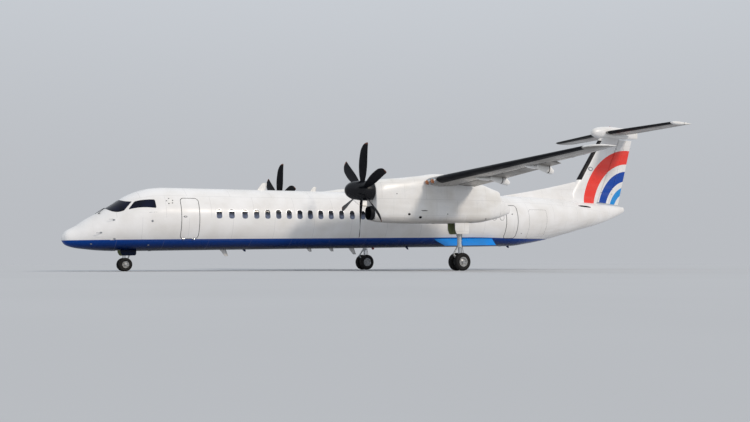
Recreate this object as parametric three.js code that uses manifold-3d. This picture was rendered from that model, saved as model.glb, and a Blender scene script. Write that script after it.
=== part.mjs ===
// Twin turboprop airliner with a high wing and a T-tail, standing on its wheels with the gear down.
// Millimetres. Airframe axes: X aft from the nose tip, Y to starboard, Z up from the fuselage centreline.
// The airframe stands slightly nose-down, so one group turns it onto the ground at Z = 0.
import * as THREE from "three";
import { mergeVertices } from "three/addons/utils/BufferGeometryUtils.js";
import Module from "manifold-3d";

const wasm = await Module();
wasm.setup();

// Driving dimensions
const PITCH = THREE.MathUtils.degToRad(1.2); // nose-down stance on the ground
const NOSE_HEIGHT = 2130; // fuselage centreline above the ground at the nose tip
const BOX_CENTRE = 16367; // ground station that becomes X = 0
const GAP = 0.4; // between solids that rest on each other
const MOVING_GAP = 12; // between a moving surface and its neighbours

const CABIN_RADIUS = 1345;
const RADOME_END = 1050;
const DOOR_BAY = { from: 4480, to: 5280, bottom: -880, top: 850 }; // forward airstair door
const AFT_DOOR = { from: 21630, to: 22430, bottom: -960, top: 780 };
const HOLD_DOOR = { from: 23190, to: 24500, bottom: -960, top: 560 };
const SECTION_ENDS = [RADOME_END, 6000, 20600, 25100]; // where the fuselage sections meet

const ENGINE_Y = 4400;
const NACELLE_HALF = 565;
const PROP_X = 11390; // blade plane
const PROP_Z = 1060;
const PROP_RADIUS = 2055;
const BLADES = 6;
const FIRST_BLADE_DEG = 8.5; // from straight up, toward port
const SPINNER_RADIUS = 430;
const SHAFT_RADIUS = 90;
const COWL_FRONT = 11850;
const COWL_NOSE = 12250; // the cowl is solid round its intake as far as here
const FIREWALL = 14150; // cowl meets the aft nacelle

const WING_Z = 1470;
const WING_LE = 14300;
const WING_TE = 16900;
const REAR_SPAR = 15850; // flaps and ailerons start behind it
const TIP_LE = 15260;
const TIP_TE = 16360;
const TIP_Z = 2030;
const TIP_RIB = 13650;
const HALF_SPAN = 14210;
const FLAP_SPLIT = 11080; // flap outboard end, aileron inboard end

const TAIL_HALF_SPAN = 4635;
const TAIL_Z = 5180;

const NOSE_GEAR_X = 2450;
const MAIN_GEAR_X = 16390;
const MAIN_WHEEL = { radius: 406, width: 224, spacing: 460, rim: 205, axle: 45 };
const NOSE_WHEEL = { radius: 280, width: 165, spacing: 350, rim: 130, axle: 36 };

// Materials
const paint = (color, roughness = 0.3) => new THREE.MeshStandardMaterial({ color, roughness, metalness: 0 });
const metal = (color, roughness) => new THREE.MeshStandardMaterial({ color, roughness, metalness: 1 });
const WHITE = paint(0xe9e8ea);
const NAVY = paint(0x06275a);
const BLACK = paint(0x14151b, 0.5);
const GREY = paint(0x8d8f94, 0.5);
const STEEL = metal(0xb9bcc0, 0.35);
const CASTING = metal(0x5e6064, 0.6);
const TYRE = paint(0x17171a, 0.85);

// Solids from closed meshes
function solidOf(geometry) {
  const bare = geometry.clone();
  for (const name of Object.keys(bare.attributes)) if (name !== "position") bare.deleteAttribute(name);
  const merged = mergeVertices(bare, 1e-3);
  const faces = new Uint32Array(merged.index.array);
  const mesh = () => new wasm.Mesh({ numProp: 3, vertProperties: merged.attributes.position.array, triVerts: faces });
  const solid = new wasm.Manifold(mesh());
  if (solid.volume() > 0) return solid;
  for (let i = 0; i < faces.length; i += 3) [faces[i + 1], faces[i + 2]] = [faces[i + 2], faces[i + 1]];
  return new wasm.Manifold(mesh());
}

function geometryOf(solid) {
  const mesh = solid.getMesh();
  const positions = new Float32Array(mesh.numVert * 3);
  for (let i = 0; i < mesh.numVert; i++) {
    positions.set(mesh.vertProperties.subarray(i * mesh.numProp, i * mesh.numProp + 3), i * 3);
  }
  const geometry = new THREE.BufferGeometry();
  geometry.setAttribute("position", new THREE.BufferAttribute(positions, 3));
  geometry.setIndex(new THREE.BufferAttribute(mesh.triVerts, 1));
  geometry.computeVertexNormals();
  return geometry;
}

// Closed skin over rings that all have the same number of points, in order.
function loft(rings) {
  const n = rings[0].length;
  const positions = rings.flat(2);
  const faces = [];
  for (let r = 0; r + 1 < rings.length; r++) {
    for (let i = 0; i < n; i++) {
      const a = r * n + i;
      const b = r * n + ((i + 1) % n);
      faces.push(a, b, b + n, a, b + n, a + n);
    }
  }
  for (const r of [0, rings.length - 1]) {
    const centre = positions.length / 3;
    for (const k of [0, 1, 2]) positions.push(rings[r].reduce((sum, p) => sum + p[k], 0) / n);
    for (let i = 0; i < n; i++) {
      const a = r * n + i;
      const b = r * n + ((i + 1) % n);
      faces.push(...(r === 0 ? [centre, b, a] : [centre, a, b]));
    }
  }
  const geometry = new THREE.BufferGeometry();
  geometry.setAttribute("position", new THREE.Float32BufferAttribute(positions, 3));
  geometry.setIndex(faces);
  return solidOf(geometry);
}

const box = (x0, x1, y0, y1, z0, z1) =>
  solidOf(new THREE.BoxGeometry(x1 - x0, y1 - y0, z1 - z0).translate((x0 + x1) / 2, (y0 + y1) / 2, (z0 + z1) / 2));

// Cylinder or cone between two points.
function rod(from, to, radius, endRadius = radius, sides = 12) {
  const a = new THREE.Vector3(...from);
  const b = new THREE.Vector3(...to);
  const geometry = new THREE.CylinderGeometry(endRadius, radius, a.distanceTo(b), sides);
  geometry.applyQuaternion(
    new THREE.Quaternion().setFromUnitVectors(new THREE.Vector3(0, 1, 0), b.clone().sub(a).normalize()),
  );
  geometry.translate(...a.add(b).multiplyScalar(0.5).toArray());
  return solidOf(geometry);
}

// Solid of revolution about an axis through a centre, from [radius, along] points.
function turned(profile, centre, axis, sides = 32) {
  const geometry = new THREE.LatheGeometry(profile.map(([r, h]) => new THREE.Vector2(r, h)), sides);
  geometry.applyQuaternion(
    new THREE.Quaternion().setFromUnitVectors(new THREE.Vector3(0, 1, 0), new THREE.Vector3(...axis)),
  );
  return solidOf(geometry.translate(...centre));
}

// Running fit of a faceted shaft in a faceted bore
const SHAFT_SIDES = 20;
const BORE_SIDES = 24;
const PIN_SIDES = 10;
const RUNNING_FIT = 0.3;
const boreFor = (radius, sides = BORE_SIDES) => (radius + RUNNING_FIT) / Math.cos(Math.PI / sides);

// Hinge fitting about a point on a hinge line: a bracket whose eye stands in a slot of the moving part, and the
// moving part's pin across that slot. ahead points to the fixed part, square to along.
const FITTING = { plate: 8, side: 6, behind: 8, cheek: 22 };
function fitting({ at, along, ahead, eye, reach, pin = 10 }) {
  const { plate, side, behind, cheek } = FITTING;
  const y = new THREE.Vector3(...along).normalize();
  const x = new THREE.Vector3(...ahead).projectOnPlane(y).normalize();
  const frame = new THREE.Matrix4().makeBasis(x, y, x.clone().cross(y)).setPosition(...at);
  const placed = (solid) => solid.transform(frame.elements);
  const across = (half, radius, sides) => rod([0, -half, 0], [0, half, 0], radius, undefined, sides);
  const arm = box(0, reach, -plate, plate, -0.55 * eye, 0.55 * eye);
  return {
    bracket: placed(joined(across(plate, eye, PIN_SIDES), arm).subtract(across(50, boreFor(pin, PIN_SIDES), PIN_SIDES))),
    slot: placed(box(-eye - behind, 400, -plate - side, plate + side, -300, 300)),
    pin: placed(across(plate + side + cheek, pin, PIN_SIDES)),
  };
}
const bracketsOf = (fittings) => fittings.map((f) => f.bracket);
const hung = (solid, fittings) =>
  fittings.reduce((part, f) => part.subtract(f.slot), solid).add(joined(...fittings.map((f) => f.pin)));

const joined = (...solids) => wasm.Manifold.union(solids);
const mirrored = (solid) => solid.mirror([0, 1, 0]);

// Oval ring across the airframe. power 2 is an ellipse, and more makes it squarer.
function oval({ x, top, bottom, half, power = 2, y = 0 }, sides, grow = 0) {
  const middle = (top + bottom) / 2;
  const height = (top - bottom) / 2 + grow;
  const bulge = (v) => Math.sign(v) * Math.abs(v) ** (2 / power);
  return Array.from({ length: sides }, (_, i) => {
    const t = (2 * Math.PI * (i + 0.5)) / sides;
    return [x, y + (half + grow) * bulge(Math.cos(t)), middle + height * bulge(Math.sin(t))];
  });
}

// Section of a body's table at station x, by straight interpolation.
function sectionAt(table, x) {
  const i = Math.max(1, table.findIndex((s) => s.x >= x));
  const [a, b] = [table[i - 1], table[i]];
  const t = (x - a.x) / (b.x - a.x);
  const mix = (key, otherwise) => {
    const [from, to] = [a[key] ?? otherwise, b[key] ?? otherwise];
    return from + t * (to - from);
  };
  return { x, top: mix("top"), bottom: mix("bottom"), half: mix("half"), power: mix("power", 2), y: mix("y", 0) };
}

// The stretch of a body's table between two stations, as a solid.
function stretch(table, from, to, sides, grow = 0) {
  const inner = table.filter((s) => s.x > from + 1 && s.x < to - 1);
  const stations = [sectionAt(table, from), ...inner, sectionAt(table, to)];
  return loft(stations.map((s) => oval(s, sides, grow)));
}

// Fuselage sections
const named = (columns, rows) => rows.map((row) => Object.fromEntries(columns.map((c, i) => [c, row[i]])));
const FUSELAGE_SIDES = 32;
const FUSELAGE = named(["x", "top", "bottom", "half"], [
  [0, -750, -850, 50],
  [50, -620, -960, 170],
  [150, -470, -1070, 310],
  [460, -210, -1190, 520],
  [880, 60, -1250, 720],
  [1410, 380, -1305, 930],
  [1940, 760, -1332, 1105],
  [2470, 1075, -1342, 1225],
  [2990, 1240, -CABIN_RADIUS, 1300],
  [3500, 1325, -CABIN_RADIUS, 1335],
  [4100, CABIN_RADIUS, -CABIN_RADIUS, CABIN_RADIUS],
  [22700, CABIN_RADIUS, -CABIN_RADIUS, CABIN_RADIUS],
  [24000, 1335, -1216, 1265],
  [25100, 1300, -1050, 1160],
  [26100, 1250, -845, 1030],
  [27100, 1190, -640, 890],
  [28100, 1120, -420, 740],
  [29100, 1060, -215, 580],
  [30100, 980, 50, 415],
  [31000, 900, 370, 240],
  [31420, 850, 540, 120],
]);
const TAIL_END = 31420;
const fuselageGrown = (from, to) => stretch(FUSELAGE, from, to, FUSELAGE_SIDES, GAP);

// Door panel cut from the fuselage skin, and the bay it fills. side is -1 to port and 1 to starboard.
const DOOR_THICKNESS = 90;
function doorPanel({ from, to, bottom, top }, side, gap) {
  const skin = stretch(FUSELAGE, from + gap, to - gap, FUSELAGE_SIDES * 2).subtract(
    stretch(FUSELAGE, from, to, FUSELAGE_SIDES * 2, -DOOR_THICKNESS),
  );
  const outline = side < 0 ? [-1500, -500] : [500, 1500];
  return skin.intersect(box(from + gap, to - gap, ...outline, bottom + gap, top - gap));
}
const doorBay = ({ from, to, bottom, top }, depth) => box(from, to, -1500, -1500 + depth, bottom, top);

// Nose gear bay, cut into the forward fuselage from below
const NOSE_BAY = { from: 2050, to: 2900, half: 260, top: -700 };

function forwardFuselage() {
  const [from, to] = SECTION_ENDS;
  const vestibule = doorBay(DOOR_BAY, 1700);
  const noseBay = box(NOSE_BAY.from, NOSE_BAY.to, -NOSE_BAY.half, NOSE_BAY.half, -1600, NOSE_BAY.top);
  const body = stretch(FUSELAGE, from + GAP, to - GAP, FUSELAGE_SIDES);
  return body.add(pad(PADS.noseX, 0, -CABIN_RADIUS)).subtract(vestibule).subtract(noseBay).add(doorKnuckles());
}

// Flat round pads where jacks and a tail steady bear on the airframe
const PAD = { radius: 70, stands: 12, embed: 60 };
const pad = (x, y, skinZ) => rod([x, y, skinZ + PAD.embed], [x, y, skinZ - PAD.stands], PAD.radius, undefined, 16);
const PADS = { noseX: 3500, nacelleX: 15000, tailX: 22200 };

const aftFuselage = () =>
  stretch(FUSELAGE, SECTION_ENDS[2] + GAP, SECTION_ENDS[3] - GAP, FUSELAGE_SIDES).add(pad(PADS.tailX, 0, -CABIN_RADIUS));

// Airstair door: curved panel with treads on its inner face, hinged along its sill.
const AIRSTAIR_HINGE = { y: -1040, z: DOOR_BAY.bottom + 8, radius: 16, pin: 8, knuckle: 30, lug: 25 };
const KNUCKLES = [DOOR_BAY.from + 180, DOOR_BAY.to - 180];
const alongHinge = (from, to, radius, sides = PIN_SIDES) => {
  const { y, z } = AIRSTAIR_HINGE;
  return rod([from, y, z], [to, y, z], radius, undefined, sides);
};
// Fixed knuckles on the sill, each between two lugs of the door
const doorKnuckles = () => {
  const { y, z, radius, pin, knuckle } = AIRSTAIR_HINGE;
  return joined(
    ...KNUCKLES.map((x) =>
      joined(alongHinge(x - knuckle, x + knuckle, radius), box(x - knuckle, x + knuckle, y - 8, y + 70, z - 40, z - 5)).subtract(
        alongHinge(x - 200, x + 200, boreFor(pin, PIN_SIDES)),
      ),
    ),
  );
};
const doorNotches = () =>
  joined(...KNUCKLES.map((x) => alongHinge(x - AIRSTAIR_HINGE.knuckle - 6, x + AIRSTAIR_HINGE.knuckle + 6, 26)));
const doorLugs = () => {
  const { y, z, radius, pin, knuckle, lug } = AIRSTAIR_HINGE;
  const one = (x, s) => {
    const [from, to] = [x + s * (knuckle + 6), x + s * (knuckle + 6 + lug)].sort((a, b) => a - b);
    return joined(alongHinge(from, to, radius), box(from, to, y - 6, y + 50, z, z + 40));
  };
  return joined(
    ...KNUCKLES.flatMap((x) => [one(x, -1), one(x, 1), alongHinge(x - knuckle - 8, x + knuckle + 8, pin)]),
  );
};
const AIRSTAIR_STEPS = 4;
function airstairDoor() {
  const panel = doorPanel(DOOR_BAY, -1, MOVING_GAP);
  const innerY = (z) => -Math.sqrt((CABIN_RADIUS - DOOR_THICKNESS) ** 2 - z * z);
  const steps = Array.from({ length: AIRSTAIR_STEPS }, (_, i) => {
    const z = DOOR_BAY.bottom + 330 + i * 330;
    return box(DOOR_BAY.from + 120, DOOR_BAY.to - 120, innerY(z) - 30, innerY(z) + 170, z - 18, z + 18);
  });
  return joined(panel, ...steps).subtract(doorNotches()).add(doorLugs());
}

// Wing sections: leading edge, trailing edge, height and thickness at a distance from the centreline.
const ROOT_THICKNESS = 450;
const TIP_THICKNESS = 150;
function wingAt(y) {
  const t = Math.max(0, Math.abs(y) - ENGINE_Y) / (HALF_SPAN - ENGINE_Y);
  const mix = (root, tip) => root + t * (tip - root);
  return {
    le: mix(WING_LE, TIP_LE),
    te: mix(WING_TE, TIP_TE),
    z: mix(WING_Z, TIP_Z),
    thick: mix(ROOT_THICKNESS, TIP_THICKNESS),
  };
}

// Half thickness of an aerofoil at a share of its chord, as a share of its full thickness.
const halfThickness = (f) =>
  5 * (0.2969 * Math.sqrt(f) - 0.126 * f - 0.3516 * f ** 2 + 0.2843 * f ** 3 - 0.1036 * f ** 4);
const NOSE_SHARES = [0, 0.012, 0.05, 0.12, 0.25, 0.4];

// Ring of an aerofoil from its nose to station end. place turns (x, offset) into a point.
function foilRing({ le, te, thick }, end, place, grow = 0) {
  const chord = te - le;
  const shares = [...NOSE_SHARES, (end - le) / chord];
  const at = (f, side) => {
    const x = le + f * chord + (f === 0 ? -grow : 0) + (f === shares.at(-1) ? grow : 0);
    return place(x, side * (halfThickness(Math.min(f, 1)) * thick + grow));
  };
  const upper = shares.slice(1).reverse().map((f) => at(f, 1));
  const lower = shares.slice(1).map((f) => at(f, -1));
  return [...upper, place(le - grow, 0), ...lower];
}

// Ring of a hinged surface: a round nose about its hinge and straight sides to the trailing edge.
const EDGE = 5; // half thickness of a trailing edge
function surfaceRing(hinge, radius, te, place) {
  const arc = [90, 126, 162, 198, 234, 270].map((deg) => {
    const t = THREE.MathUtils.degToRad(deg);
    return place(hinge + radius * Math.cos(t), radius * Math.sin(t));
  });
  return [...arc, place(te, -EDGE), place(te, EDGE)];
}

const wingRing = (y, end, grow = 0) => {
  const s = wingAt(y);
  return foilRing(s, end ?? s.te, (x, offset) => [x, y, s.z + offset], grow);
};
const wingCentreBox = (grow) =>
  loft([-ENGINE_Y + GAP, 0, ENGINE_Y - GAP].map((y) => wingRing(y, REAR_SPAR, grow)));
const outerWingBox = (side, grow) =>
  loft([ENGINE_Y + GAP, TIP_RIB].map((y) => wingRing(side * y, REAR_SPAR, grow)));
// The seam between the centre section and an outer wing, as a cutter
const wingSeam = (side) => loft([ENGINE_Y - 5, ENGINE_Y + 5].map((y) => wingRing(side * y, REAR_SPAR, 2 * GAP)));

const wingCentre = () =>
  joined(wingCentreBox(0), ...bracketsOf([...innerFlapFittings(-1), ...innerFlapFittings(1)])).subtract(
    fuselageGrown(13000, 18000),
  );

// Wing tip: full chord, raked and rounded off
function wingTip(side) {
  const rings = [
    { y: TIP_RIB, le: 0, te: 0, thin: 1 },
    { y: TIP_RIB + 250, le: 60, te: 0, thin: 0.85 },
    { y: HALF_SPAN - 80, le: 330, te: 0, thin: 0.55 },
    { y: HALF_SPAN, le: 640, te: 0, thin: 0.25 },
  ].map(({ y, le, te, thin }) => {
    const s = wingAt(y);
    const cut = { le: s.le + le, te: s.te + te, thick: s.thick * thin };
    return foilRing(cut, cut.te, (x, offset) => [x, side * y, s.z + offset]);
  });
  return loft(rings);
}

// Flaps hinge below the wing on brackets, and are stored at the take-off setting.
const FLAP_DROOP_DEG = 12;
const FLAP_TAKEOFF = THREE.MathUtils.degToRad(FLAP_DROOP_DEG);
const FLAP_HINGE = { x: REAR_SPAR + 150, share: 0.38, below: 90 }; // share of the thickness, then below it
const flapPivot = (y) => {
  const s = wingAt(y);
  return [FLAP_HINGE.x, y, s.z - FLAP_HINGE.share * s.thick - FLAP_HINGE.below];
};
const FLAP_GAP = 25;

// A flap is drawn stowed and then turned down about its pivot.
function drooped(solid, y) {
  const [x, , z] = flapPivot(y);
  return solid.translate([-x, 0, -z]).rotate([0, FLAP_DROOP_DEG, 0]).translate([x, 0, z]);
}
function flapRing(y) {
  const s = wingAt(y);
  const radius = flapNose(s);
  const [pivotX, , pivotZ] = flapPivot(y);
  const [c, n] = [Math.cos(FLAP_TAKEOFF), Math.sin(FLAP_TAKEOFF)];
  return surfaceRing(REAR_SPAR + FLAP_GAP + radius, radius, s.te, (x, offset) => {
    const [dx, dz] = [x - pivotX, s.z + offset - pivotZ];
    return [pivotX + dx * c + dz * n, y, pivotZ - dx * n + dz * c];
  });
}
const flap = (from, to) => loft([flapRing(from), flapRing(to)]);

// Fitting of a flap at y. ahead runs from the pivot to the wing or its pod.
const FLAP_EYE = 34;
const flapFitting = (y, along, ahead) =>
  fitting({ at: flapPivot(y), along, ahead, eye: FLAP_EYE, reach: Math.hypot(...ahead), pin: 14 });

const AILERON = { from: FLAP_SPLIT + MOVING_GAP, to: TIP_RIB - MOVING_GAP };
const aileronNose = (s) => halfThickness((REAR_SPAR + 40 - s.le) / (s.te - s.le)) * s.thick * 0.9;
const aileronHinge = (y, side = 1) => {
  const s = wingAt(y);
  return [REAR_SPAR + MOVING_GAP + aileronNose(s), side * y, s.z];
};
const between = (a, b) => b.map((v, k) => v - a[k]);
const lerp = (a, b, t) => a.map((v, k) => v + t * (b[k] - v));
// Fittings spaced along a straight hinge line, at shares of its length
const lineOfFittings = (from, to, shares, ahead, eye, reach) =>
  shares.map((t) => fitting({ at: lerp(from, to, t), along: between(from, to), ahead, eye, reach }));
const aileronFittings = (side) =>
  lineOfFittings(aileronHinge(AILERON.from, side), aileronHinge(AILERON.to, side), [0.16, 0.84], [-1, 0, 0], 26, 150);

function aileron(side) {
  const rings = [AILERON.from, AILERON.to].map((y) => {
    const s = wingAt(y);
    return surfaceRing(aileronHinge(y)[0], aileronNose(s), s.te, (x, offset) => [x, side * y, s.z + offset]);
  });
  return hung(loft(rings), aileronFittings(side));
}

// Underside of the wing at station x, following the stowed flap behind the rear spar
const flapNose = (s) => halfThickness((REAR_SPAR + 60 - s.le) / (s.te - s.le)) * s.thick * 0.86;
function underside(s, x) {
  if (x <= REAR_SPAR) return s.z - halfThickness((x - s.le) / (s.te - s.le)) * s.thick;
  const t = (x - REAR_SPAR) / (s.te - REAR_SPAR);
  return s.z - (flapNose(s) * (1 - t) + EDGE * t);
}

// Flap track fairings: a pod under the wing, whose aft part is carried by the flap
const TRACK_YS = [7380, 10330];
const POD = named(["share", "depth", "half"], [
  [0, 8, 6],
  [0.14, 70, 55],
  [0.4, 135, 85],
  [0.68, 140, 80],
  [0.86, 90, 55],
  [1, 25, 15],
]);
const POD_TAIL = 190; // how far a pod ends behind the trailing edge
const POD_EMBED = 25;
function pod(y, side, from, to) {
  const s = wingAt(y);
  const start = s.le + 0.27 * (s.te - s.le);
  const end = s.te + POD_TAIL;
  const table = POD.map(({ share, depth, half }) => {
    const x = start + share * (end - start);
    return { x, top: underside(s, x) + POD_EMBED, bottom: underside(s, x) - depth, half, power: 2.3, y: side * y };
  });
  return stretch(table, Math.max(from, start), Math.min(to, end), 12);
}

const OUTER_FLAP = [ENGINE_Y + NACELLE_HALF + 45, FLAP_SPLIT - MOVING_GAP];
const outerFlapFittings = (side) => {
  const along = between(...OUTER_FLAP.map((y) => flapPivot(side * y)));
  return TRACK_YS.map((y) => flapFitting(side * y, along, [-230, 0, 0]));
};
const outerWing = (side) =>
  joined(
    outerWingBox(side, 0),
    wingTip(side),
    ...TRACK_YS.map((y) => pod(y, side, 0, REAR_SPAR - GAP)),
    ...bracketsOf([...outerFlapFittings(side), ...aileronFittings(side)]),
  );

// The slot of a flap fitting cuts the pod and stops short of the flap above it.
function outerFlap(side) {
  const pods = TRACK_YS.map((y) => drooped(pod(y, side, REAR_SPAR + FLAP_GAP, Infinity), y));
  const slots = TRACK_YS.map((y) => flapSlot(side * y));
  const pins = outerFlapFittings(side).map((f) => f.pin);
  return joined(joined(...pods).subtract(joined(...slots)), flap(...OUTER_FLAP.map((y) => side * y)), ...pins);
}
function flapSlot(y) {
  const [x, , z] = flapPivot(y);
  const half = FITTING.plate + FITTING.side;
  const top = z + FLAP_EYE + FITTING.behind;
  return drooped(box(x - 400, x + FLAP_EYE + FITTING.behind, y - half, y + half, z - 300, top), y);
}

// The inner flap hangs from brackets under the centre section, between pairs of lugs.
const INNER_FLAP = [CABIN_RADIUS + 40, ENGINE_Y - NACELLE_HALF - MOVING_GAP];
const INNER_BRACKETS = [1950, 3300];
const LUG = { half: 42, plate: 14, embed: 30 };
const innerFlapFittings = (side) => INNER_BRACKETS.map((y) => flapFitting(side * y, [0, 1, 0], [-520, 0, 84]));
function lugs(y) {
  const [x, , z] = flapPivot(y);
  const inner = FITTING.plate + FITTING.side;
  const top = z + FLAP_HINGE.below + LUG.embed;
  const plates = [-inner - LUG.plate, inner].map((from) =>
    box(x - LUG.half, x + LUG.half, y + from, y + from + LUG.plate, z - FLAP_EYE, top),
  );
  return drooped(joined(...plates), y);
}
function innerFlap(side) {
  const pins = innerFlapFittings(side).map((f) => f.pin);
  return joined(flap(...INNER_FLAP.map((y) => side * y)), ...INNER_BRACKETS.map((y) => lugs(side * y)), ...pins);
}

// Wing-to-fuselage fairing over the cabin
const FAIRING = named(["x", "top", "bottom", "half", "power"], [
  [12700, 1350, 560, 1180, 2.0],
  [13300, 1500, 560, 1240, 2.2],
  [14100, 1770, 560, 1290, 2.5],
  [15000, 1830, 560, 1300, 2.6],
  [16200, 1790, 560, 1300, 2.5],
  [17300, 1560, 560, 1260, 2.3],
  [18350, 1340, 560, 1180, 2.0],
]);
function wingFairing() {
  return stretch(FAIRING.map((s) => ({ ...s, bottom: -s.top + 900 })), 12700, 18350, 32)
    .intersect(box(12000, 19000, -2000, 2000, 560, 2500))
    .subtract(fuselageGrown(12000, 19000))
    .subtract(wingCentreBox(GAP));
}

// Nacelle sections
const NACELLE_SIDES = 24;
const NACELLE = named(["x", "top", "bottom", "half", "power", "y"], [
  [COWL_FRONT, 1480, -130, 430, 2.4, 0],
  [COWL_NOSE, 1570, -250, 500, 2.7, 0],
  [13200, 1660, -320, 550, 3.0, 0],
  [FIREWALL, 1790, -340, NACELLE_HALF, 3.2, 0],
  [15000, 1900, -340, NACELLE_HALF, 3.2, 0],
  [16200, 1840, -340, NACELLE_HALF, 3.2, 0],
  [17300, 1540, -300, 540, 3.2, 0],
  [18540, 1180, -90, 400, 3.0, 0],
]);
const NACELLE_TAIL = 19330;
const INTAKE = { z: 90, half: 300, height: 190, depth: 350 };
const sideways = (solid, side) => solid.translate([0, side * ENGINE_Y, 0]);

const COWL_WALL = 45;
function cowl() {
  const bore = rod([COWL_FRONT - 50, 0, PROP_Z], [COWL_NOSE + 50, 0, PROP_Z], boreFor(SHAFT_RADIUS), undefined, BORE_SIDES);
  const mouth = { top: INTAKE.z + INTAKE.height, bottom: INTAKE.z - INTAKE.height, half: INTAKE.half, power: 2.4 };
  const duct = loft([COWL_FRONT - 60, COWL_FRONT + INTAKE.depth].map((x) => oval({ x, ...mouth }, 20)));
  const inside = stretch(NACELLE, COWL_NOSE, FIREWALL, NACELLE_SIDES, -COWL_WALL);
  return stretch(NACELLE, COWL_FRONT, FIREWALL - GAP, NACELLE_SIDES).subtract(inside).subtract(bore).subtract(duct);
}

// Engine: one plain block between the intake ring and the firewall
const ENGINE = { half: 385, bottom: 250, top: 1200 };
const engine = () => box(COWL_NOSE + GAP, FIREWALL - 2 * GAP, -ENGINE.half, ENGINE.half, ENGINE.bottom, ENGINE.top);

// Wheel well in the aft nacelle, open below around the leg
const WELL = { from: MAIN_GEAR_X - 420, to: MAIN_GEAR_X + 380, half: 300, top: 300 };
function aftNacelle(side) {
  const body = stretch(NACELLE, FIREWALL, 18540, NACELLE_SIDES);
  const tail = loft([
    oval({ x: 18540, top: 1000, bottom: -90, half: 400, power: 3 }, NACELLE_SIDES),
    oval({ x: NACELLE_TAIL, top: 470, bottom: 150, half: 110, power: 2.4 }, NACELLE_SIDES),
  ]);
  const well = box(WELL.from, WELL.to, -WELL.half, WELL.half, -600, WELL.top);
  const pipe = rod([17600, 0, 1010], [18700, 0, 910], 170, 200, 20);
  const jackPad = pad(PADS.nacelleX, 0, -340);
  return sideways(joined(body, tail, jackPad).subtract(well).subtract(pipe), side)
    .subtract(wingCentreBox(GAP))
    .subtract(outerWingBox(side, GAP))
    .subtract(wingSeam(side));
}

// Propeller: hub drum with its shaft and six swept blades
const BLADE = named(["r", "chord", "twist", "sweep", "thick"], [
  [0.2, 190, 62, 0, 70],
  [0.36, 290, 50, -15, 40],
  [0.6, 350, 36, -30, 26],
  [0.8, 340, 27, -5, 18],
  [0.93, 260, 22, 70, 12],
  [1, 110, 20, 160, 7],
]);
function blade(index) {
  const rings = BLADE.map(({ r, chord, twist, sweep, thick }) => {
    const a = THREE.MathUtils.degToRad(twist);
    const profile = [
      [-0.5, 0],
      [-0.3, 0.42],
      [0, 0.5],
      [0.3, 0.3],
      [0.5, 0],
      [0, -0.3],
      [-0.3, -0.3],
    ];
    return profile.map(([u, v]) => {
      const [along, off] = [u * chord + sweep, v * thick];
      return [off * Math.cos(a) + along * Math.sin(a), off * Math.sin(a) - along * Math.cos(a), r * PROP_RADIUS];
    });
  });
  return loft(rings).rotate([FIRST_BLADE_DEG + (360 / BLADES) * index, 0, 0]);
}
const HUB_FRONT = -250;
const HUB_BACK = COWL_FRONT - PROP_X - MOVING_GAP;
function propeller() {
  const drum = turned(
    [[0, HUB_FRONT], [SPINNER_RADIUS * 0.93, HUB_FRONT], [SPINNER_RADIUS, 0], [SPINNER_RADIUS * 0.97, HUB_BACK], [0, HUB_BACK]],
    [0, 0, 0], [1, 0, 0], SHAFT_SIDES,
  );
  const shaft = rod([HUB_BACK - 20, 0, 0], [HUB_BACK + 300, 0, 0], SHAFT_RADIUS, undefined, SHAFT_SIDES);
  return joined(drum, shaft, ...Array.from({ length: BLADES }, (_, i) => blade(i)));
}
const SPINNER_LENGTH = 560;
function spinner() {
  const steps = 6;
  const dome = Array.from({ length: steps }, (_, i) => {
    const t = (Math.PI / 2) * (i / (steps - 1));
    return [i === 0 ? 0 : SPINNER_RADIUS * 0.93 * Math.sin(t), HUB_FRONT - GAP - SPINNER_LENGTH * Math.cos(t)];
  });
  return turned([...dome, [0, HUB_FRONT - GAP]], [0, 0, 0], [1, 0, 0], SHAFT_SIDES);
}

// Fin, dorsal fin, rudders, tailplane and bullet fairing
const FIN = { foot: 1000, top: 4990, leFoot: 26800, leTop: 29820, teFoot: 31000, teTop: 32400 };
const RUDDER_TOP = 4820;
const RUDDER_FOOT = { x: 29400, z: 1115, slope: 0.09 };
function finAt(z) {
  const t = (z - FIN.foot) / (FIN.top - FIN.foot);
  const mix = (a, b) => a + t * (b - a);
  return { le: mix(FIN.leFoot, FIN.leTop), te: mix(FIN.teFoot, FIN.teTop), thick: mix(430, 300) };
}
const FORE_HINGE = 0.6; // share of the chord
const TRAIL_HINGE = 0.82;
const hingeAt = (s, share) => s.le + share * (s.te - s.le);
const finPlace = (z) => (x, offset) => [x, offset, z];
const footPlace = (x, offset) => [x, offset, RUDDER_FOOT.z - RUDDER_FOOT.slope * (x - RUDDER_FOOT.x)];
const noseRadius = (s, share) => halfThickness(share) * s.thick;

const rudderFittings = (share, eye) => {
  const [foot, top] = [RUDDER_FOOT.z, RUDDER_TOP].map((z) => [hingeAt(finAt(z), share), 0, z]);
  return lineOfFittings(foot, top, [0.15, 0.85], [-1, 0, 0], eye, noseRadius(finAt(RUDDER_FOOT.z), share) + 60);
};

function fin() {
  const rings = [700, FIN.top].map((z) => {
    const s = finAt(z);
    const end = hingeAt(s, FORE_HINGE) - noseRadius(s, FORE_HINGE) - MOVING_GAP;
    return foilRing(s, end, finPlace(z));
  });
  return joined(loft(rings), ...bracketsOf(rudderFittings(FORE_HINGE, 45)))
    .subtract(fuselageGrown(25000, TAIL_END))
    .subtract(bulletGrown());
}

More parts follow.
